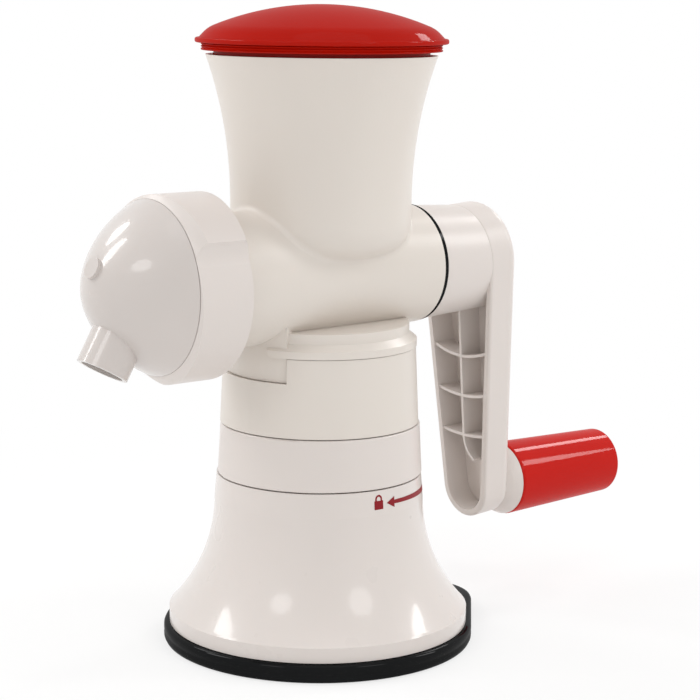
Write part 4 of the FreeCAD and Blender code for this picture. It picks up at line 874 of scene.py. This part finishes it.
@dataclass
class Lid:
    """Red lid turned with soft edges, a rounded brim and three fine beads under it."""

    crown_radius: float = 52.8 * MM
    crown_rise: float = 11.0 * MM
    slope_foot_radius: float = 57.0 * MM
    slope_height: float = 4.4 * MM
    brim_height: float = 2.4 * MM
    band_radius: float = 56.0 * MM
    band_height: float = 3.4 * MM
    beads: int = 3
    bead_depth: float = 0.5 * MM
    plug_radius: float = 50.2 * MM
    plug_wall: float = 3.7 * MM
    ledge_width: float = 2.5 * MM
    wall: float = 3.0 * MM
    brim_round: float = 1.1 * MM
    shoulder_round: float = 3.0 * MM
    edge_round: float = 0.4 * MM
    cap_steps: int = 16
    corner_steps: int = 6
    bead_steps: int = 10
    around: int = 160

    def cap(self, radius: float, rise: float, top: float) -> list[Point]:
        """Outline of a round cap from beside the axis to its edge.

        Args:
            radius: radius of its edge.
            rise: how far it falls from the axis to the edge.
            top: height of its middle.

        Returns:
            Radii with their heights.
        """
        ball = (radius * radius + rise * rise) / (2.0 * rise)
        reach = math.asin(radius / ball)
        turns = [reach * k / self.cap_steps for k in range(1, self.cap_steps + 1)]
        return [(ball * math.sin(turn), top - ball * (1.0 - math.cos(turn))) for turn in turns]

    def soft_corner(self, before: Point, at: Point, after: Point, cut: float) -> list[Point]:
        """Rounds one corner of the outline.

        Args:
            before: the point that the outline comes from.
            at: the corner.
            after: the point that it goes to.
            cut: how far from the corner the curve starts and ends.

        Returns:
            The points of the curve.
        """
        corner = Vector(at)
        start = corner + (Vector(before) - corner).normalized() * cut
        end = corner + (Vector(after) - corner).normalized() * cut
        curve = []
        for k in range(self.corner_steps + 1):
            share = k / self.corner_steps
            curve.append(tuple(start.lerp(corner, share).lerp(corner.lerp(end, share), share)))
        return curve

    def beaded_band(self, foot: float) -> list[Point]:
        """Outline of the beads from the foot of the band up.

        Args:
            foot: height of the band's foot.

        Returns:
            Radii with their heights.
        """
        steps = self.bead_steps * self.beads
        band = []
        for k in range(1, steps):
            share = k / steps
            dip = self.bead_depth * math.cos(math.pi * self.beads * share) ** 2
            band.append((self.band_radius - dip, foot + self.band_height * share))
        return band

    def profile(self, plug_foot: float, top: float, brim_radius: float) -> list[Point]:
        """Outline of the lid from the middle of its hollow over the plug and the brim to its crown.

        Args:
            plug_foot: height of the plug's lower edge.
            top: height of the crown's middle.
            brim_radius: radius of the brim.

        Returns:
            The outline without its two end points on the axis.
        """
        shoulder = top - self.crown_rise
        slope_foot = shoulder - self.slope_height
        brim = slope_foot - self.brim_height
        band = brim - self.band_height
        inner_plug = self.plug_radius - self.plug_wall
        hollow = inner_plug - self.ledge_width
        hollow_top = top - self.wall
        hollow_rise = hollow_top - (shoulder - self.wall / 2.0)
        crown = self.cap(self.crown_radius, self.crown_rise, top)[::-1]
        corners = [
            ((hollow, brim), 0.0),
            ((inner_plug, brim), 0.0),
            ((inner_plug, plug_foot), self.edge_round),
            ((self.plug_radius, plug_foot), self.edge_round),
            ((self.plug_radius, band), 0.0),
            ((self.band_radius, band), self.edge_round),
            ((self.band_radius, brim), 0.0),
            ((brim_radius, brim), self.brim_round),
            ((brim_radius, slope_foot), self.brim_round),
            ((self.slope_foot_radius, slope_foot), 0.0),
            (crown[0], self.shoulder_round),
            (crown[1], 0.0),
        ]
        outline = self.cap(hollow, hollow_rise, hollow_top)
        earlier = [(outline[-1], 0.0)] + corners
        for (before, _), (at, cut), (after, _) in zip(earlier, corners, corners[1:]):
            outline += self.soft_corner(before, at, after, cut) if cut else [at]
            if at == (self.band_radius, band):
                outline += self.beaded_band(band)
        return outline + crown[1:]

    def build(self) -> bpy.types.Object:
        """Builds the lid in place of its plain solid.

        Returns:
            The finished piece.
        """
        low, high = (Vector(corner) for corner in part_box("pusher_lid"))
        outline = self.profile(low.z, high.z, high.x)
        rings = [level_ring(circle(radius, self.around), z) for radius, z in outline]
        hollow = Vector((0.0, 0.0, high.z - self.wall))
        mesh = lofted("pusher_lid_turned", rings, hollow, Vector((0.0, 0.0, high.z)))
        mesh.set_sharp_from_angle(angle=SHARP_ANGLE)
        piece = new_piece("pusher_lid_turned", mesh, LID_RED, "pusher")
        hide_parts("pusher_lid")
        return piece


@dataclass
class Pusher:
    """Red lid with the cup that presses the meat down."""

    lid: Lid

    def build(self) -> None:
        """Builds the lid and dresses its cup."""
        self.lid.build()
        dress(LID_RED, "pusher_stem")


@dataclass(frozen=True)
class Softbox:
    """One oval lamp of the studio.

    Attributes:
        name: name of the lamp.
        bearing: degrees round the grinder from the camera, towards the right of the picture.
        height_angle: degrees above level.
        distance: metres from the point that it shines at.
        width: width of its screen in metres.
        height: height of its screen in metres.
        power: watts.
    """

    name: str
    bearing: float
    height_angle: float
    distance: float
    width: float
    height: float
    power: float

    def build(self, target: Vector, camera_bearing: float) -> bpy.types.Object:
        """Hangs the lamp.

        Args:
            target: the point it shines at.
            camera_bearing: direction of the camera from the grinder, in degrees from +X.

        Returns:
            The lamp.
        """
        data = bpy.data.lights.new(self.name, "AREA")
        data.shape = "ELLIPSE"
        data.size = self.width
        data.size_y = self.height
        data.energy = self.power
        lamp = bpy.data.objects.new(self.name, data)
        turn = math.radians(camera_bearing + self.bearing)
        rise = math.radians(self.height_angle)
        level = math.cos(rise)
        outward = Vector((math.cos(turn) * level, math.sin(turn) * level, math.sin(rise)))
        lamp.location = target + outward * self.distance
        lamp.rotation_euler = (-outward).to_track_quat("-Z", "Y").to_euler()
        bpy.context.scene.collection.objects.link(lamp)
        return lamp


@dataclass
class Studio:
    """White room and floor, soft lamps and the camera at the photograph's viewpoint.

    Yaw, pitch and roll are degrees, and the focal length is in pixels of the photograph's frame. Between
    the two distances of shadow_reach the floor fades from floor_glow, the share of plain white that it
    shows by the grinder, to the white of the background.
    """

    lamps: Sequence[Softbox]
    camera_place: tuple[float, float, float] = (-0.5820, -0.7449, 0.3087)
    yaw: float = -38.87
    pitch: float = 10.11
    roll: float = 0.57
    focal_pixels: float = 2021.9
    frame_pixels: float = 700.0
    sensor: float = 36.0
    ambient: float = 0.70
    room_colour: Colour = (1.0, 0.99, 0.98)
    lamp_target: float = 0.12
    floor_size: float = 12.0
    floor_colour: Colour = (0.92, 0.92, 0.92)
    floor_roughness: float = 0.8
    floor_glow: float = 0.70
    shadow_reach: Point = (0.16, 0.5)

    def seen_directly(self, tree: bpy.types.NodeTree) -> bpy.types.NodeSocket:
        """Tells the rays that show the background from those that only carry light.

        Args:
            tree: the tree to add to.

        Returns:
            1 for a ray from the camera, a mirror or a clear solid, and 0 for any other.
        """
        path = tree.nodes.new("ShaderNodeLightPath")
        seen = path.outputs["Is Camera Ray"]
        for kind in ("Is Glossy Ray", "Is Transmission Ray"):
            seen = math_node(tree, "MAXIMUM", seen, path.outputs[kind])
        return seen

    def build_world(self) -> None:
        """Gives the room its even light and a plain white background."""
        world = bpy.data.worlds.new("white_room")
        bpy.context.scene.world = world
        world.use_nodes = True
        tree = world.node_tree
        room = tree.nodes["Background"]
        room.inputs["Color"].default_value = (*self.room_colour, 1.0)
        room.inputs["Strength"].default_value = self.ambient
        white = tree.nodes.new("ShaderNodeBackground")
        white.inputs["Color"].default_value = (1.0, 1.0, 1.0, 1.0)
        white.inputs["Strength"].default_value = 1.0
        mix = tree.nodes.new("ShaderNodeMixShader")
        tree.links.new(self.seen_directly(tree), mix.inputs["Fac"])
        tree.links.new(room.outputs["Background"], mix.inputs[1])
        tree.links.new(white.outputs["Background"], mix.inputs[2])
        tree.links.new(mix.outputs["Shader"], tree.nodes["World Output"].inputs["Surface"])

    def floor_paint(self) -> bpy.types.Material:
        """White paint that keeps a soft shadow by the grinder and fades into the background.

        Returns:
            The floor's material.
        """
        paint = bpy.data.materials.new("floor_white")
        paint.use_nodes = True
        tree = paint.node_tree
        lit = tree.nodes["Principled BSDF"]
        lit.inputs["Base Color"].default_value = (*self.floor_colour, 1.0)
        lit.inputs["Roughness"].default_value = self.floor_roughness
        lit.inputs["Specular IOR Level"].default_value = 0.0
        white = tree.nodes.new("ShaderNodeEmission")
        white.inputs["Strength"].default_value = 1.0
        place = tree.nodes.new("ShaderNodeTexCoord")
        distance = tree.nodes.new("ShaderNodeVectorMath")
        distance.operation = "LENGTH"
        tree.links.new(place.outputs["Object"], distance.inputs[0])
        fade = tree.nodes.new("ShaderNodeMapRange")
        fade.interpolation_type = "SMOOTHSTEP"
        fade.inputs["From Min"].default_value = self.shadow_reach[0]
        fade.inputs["From Max"].default_value = self.shadow_reach[1]
        fade.inputs["To Min"].default_value = self.floor_glow
        fade.inputs["To Max"].default_value = 1.0
        tree.links.new(distance.outputs["Value"], fade.inputs["Value"])
        share = math_node(tree, "MULTIPLY", self.seen_directly(tree), fade.outputs["Result"])
        mix = tree.nodes.new("ShaderNodeMixShader")
        tree.links.new(share, mix.inputs["Fac"])
        tree.links.new(lit.outputs["BSDF"], mix.inputs[1])
        tree.links.new(white.outputs["Emission"], mix.inputs[2])
        tree.links.new(mix.outputs["Shader"], tree.nodes["Material Output"].inputs["Surface"])
        return paint

    def build_floor(self) -> None:
        """Lays the floor."""
        mesh = bpy.data.meshes.new("floor")
        half = self.floor_size / 2.0
        corners = [(-half, -half, 0.0), (half, -half, 0.0), (half, half, 0.0), (-half, half, 0.0)]
        mesh.from_pydata(corners, [], [(0, 1, 2, 3)])
        floor = bpy.data.objects.new("floor", mesh)
        bpy.context.scene.collection.objects.link(floor)
        mesh.materials.append(self.floor_paint())

    def build_camera(self) -> None:
        """Sets the camera where the photograph was taken from."""
        yaw, pitch, roll = (math.radians(angle) for angle in (self.yaw, self.pitch, self.roll))
        flat = math.cos(pitch)
        ahead = Vector((-math.sin(yaw) * flat, math.cos(yaw) * flat, -math.sin(pitch)))
        level = Vector((math.cos(yaw), math.sin(yaw), 0.0))
        above = level.cross(ahead)
        right = level * math.cos(roll) + above * math.sin(roll)
        up = above * math.cos(roll) - level * math.sin(roll)
        data = bpy.data.cameras.new("photo_camera")
        data.sensor_width = self.sensor
        data.lens = self.focal_pixels / self.frame_pixels * self.sensor
        camera = bpy.data.objects.new("photo_camera", data)
        turn = Matrix((right, up, -ahead)).transposed().to_4x4()
        camera.matrix_world = Matrix.Translation(self.camera_place) @ turn
        bpy.context.scene.collection.objects.link(camera)
        bpy.context.scene.camera = camera

    def build(self) -> None:
        """Builds the whole studio."""
        bpy.context.scene.view_settings.view_transform = "Standard"
        self.build_world()
        self.build_floor()
        self.build_camera()
        camera_bearing = math.degrees(math.atan2(self.camera_place[1], self.camera_place[0]))
        for lamp in self.lamps:
            lamp.build(Vector((0.0, 0.0, self.lamp_target)), camera_bearing)


# Each lamp's name, bearing, height angle, distance, width, height and power.
LAMPS = (
    Softbox("window_left", -92.0, 37.0, 1.2, 0.26, 0.50, 2.7),
    Softbox("small_front_left", -36.0, 33.0, 1.3, 0.38, 0.28, 1.0),
    Softbox("small_front_right", 42.0, 31.0, 1.3, 0.46, 0.38, 1.4),
    Softbox("window_right", 98.0, 32.0, 1.2, 0.20, 0.46, 2.3),
    Softbox("rim_left", -119.0, 39.0, 1.2, 0.26, 0.32, 1.5),
    Softbox("rim_right", 138.0, 37.0, 1.2, 0.18, 0.28, 1.6),
    Softbox("ceiling", 30.0, 78.0, 1.6, 1.2, 1.2, 1.8),
)


def main() -> None:
    """Builds and dresses the grinder's sub-assemblies, then the studio."""
    logging.basicConfig(level=logging.INFO, format="%(name)s %(message)s")
    assemblies = (
        Foot(SuctionPad(), LockSign()),
        Head(),
        Crank(CrankScrew()),
        Pusher(Lid()),
        Studio(LAMPS),
    )
    for assembly in assemblies:
        assembly.build()


if __name__ == "__main__":
    main()
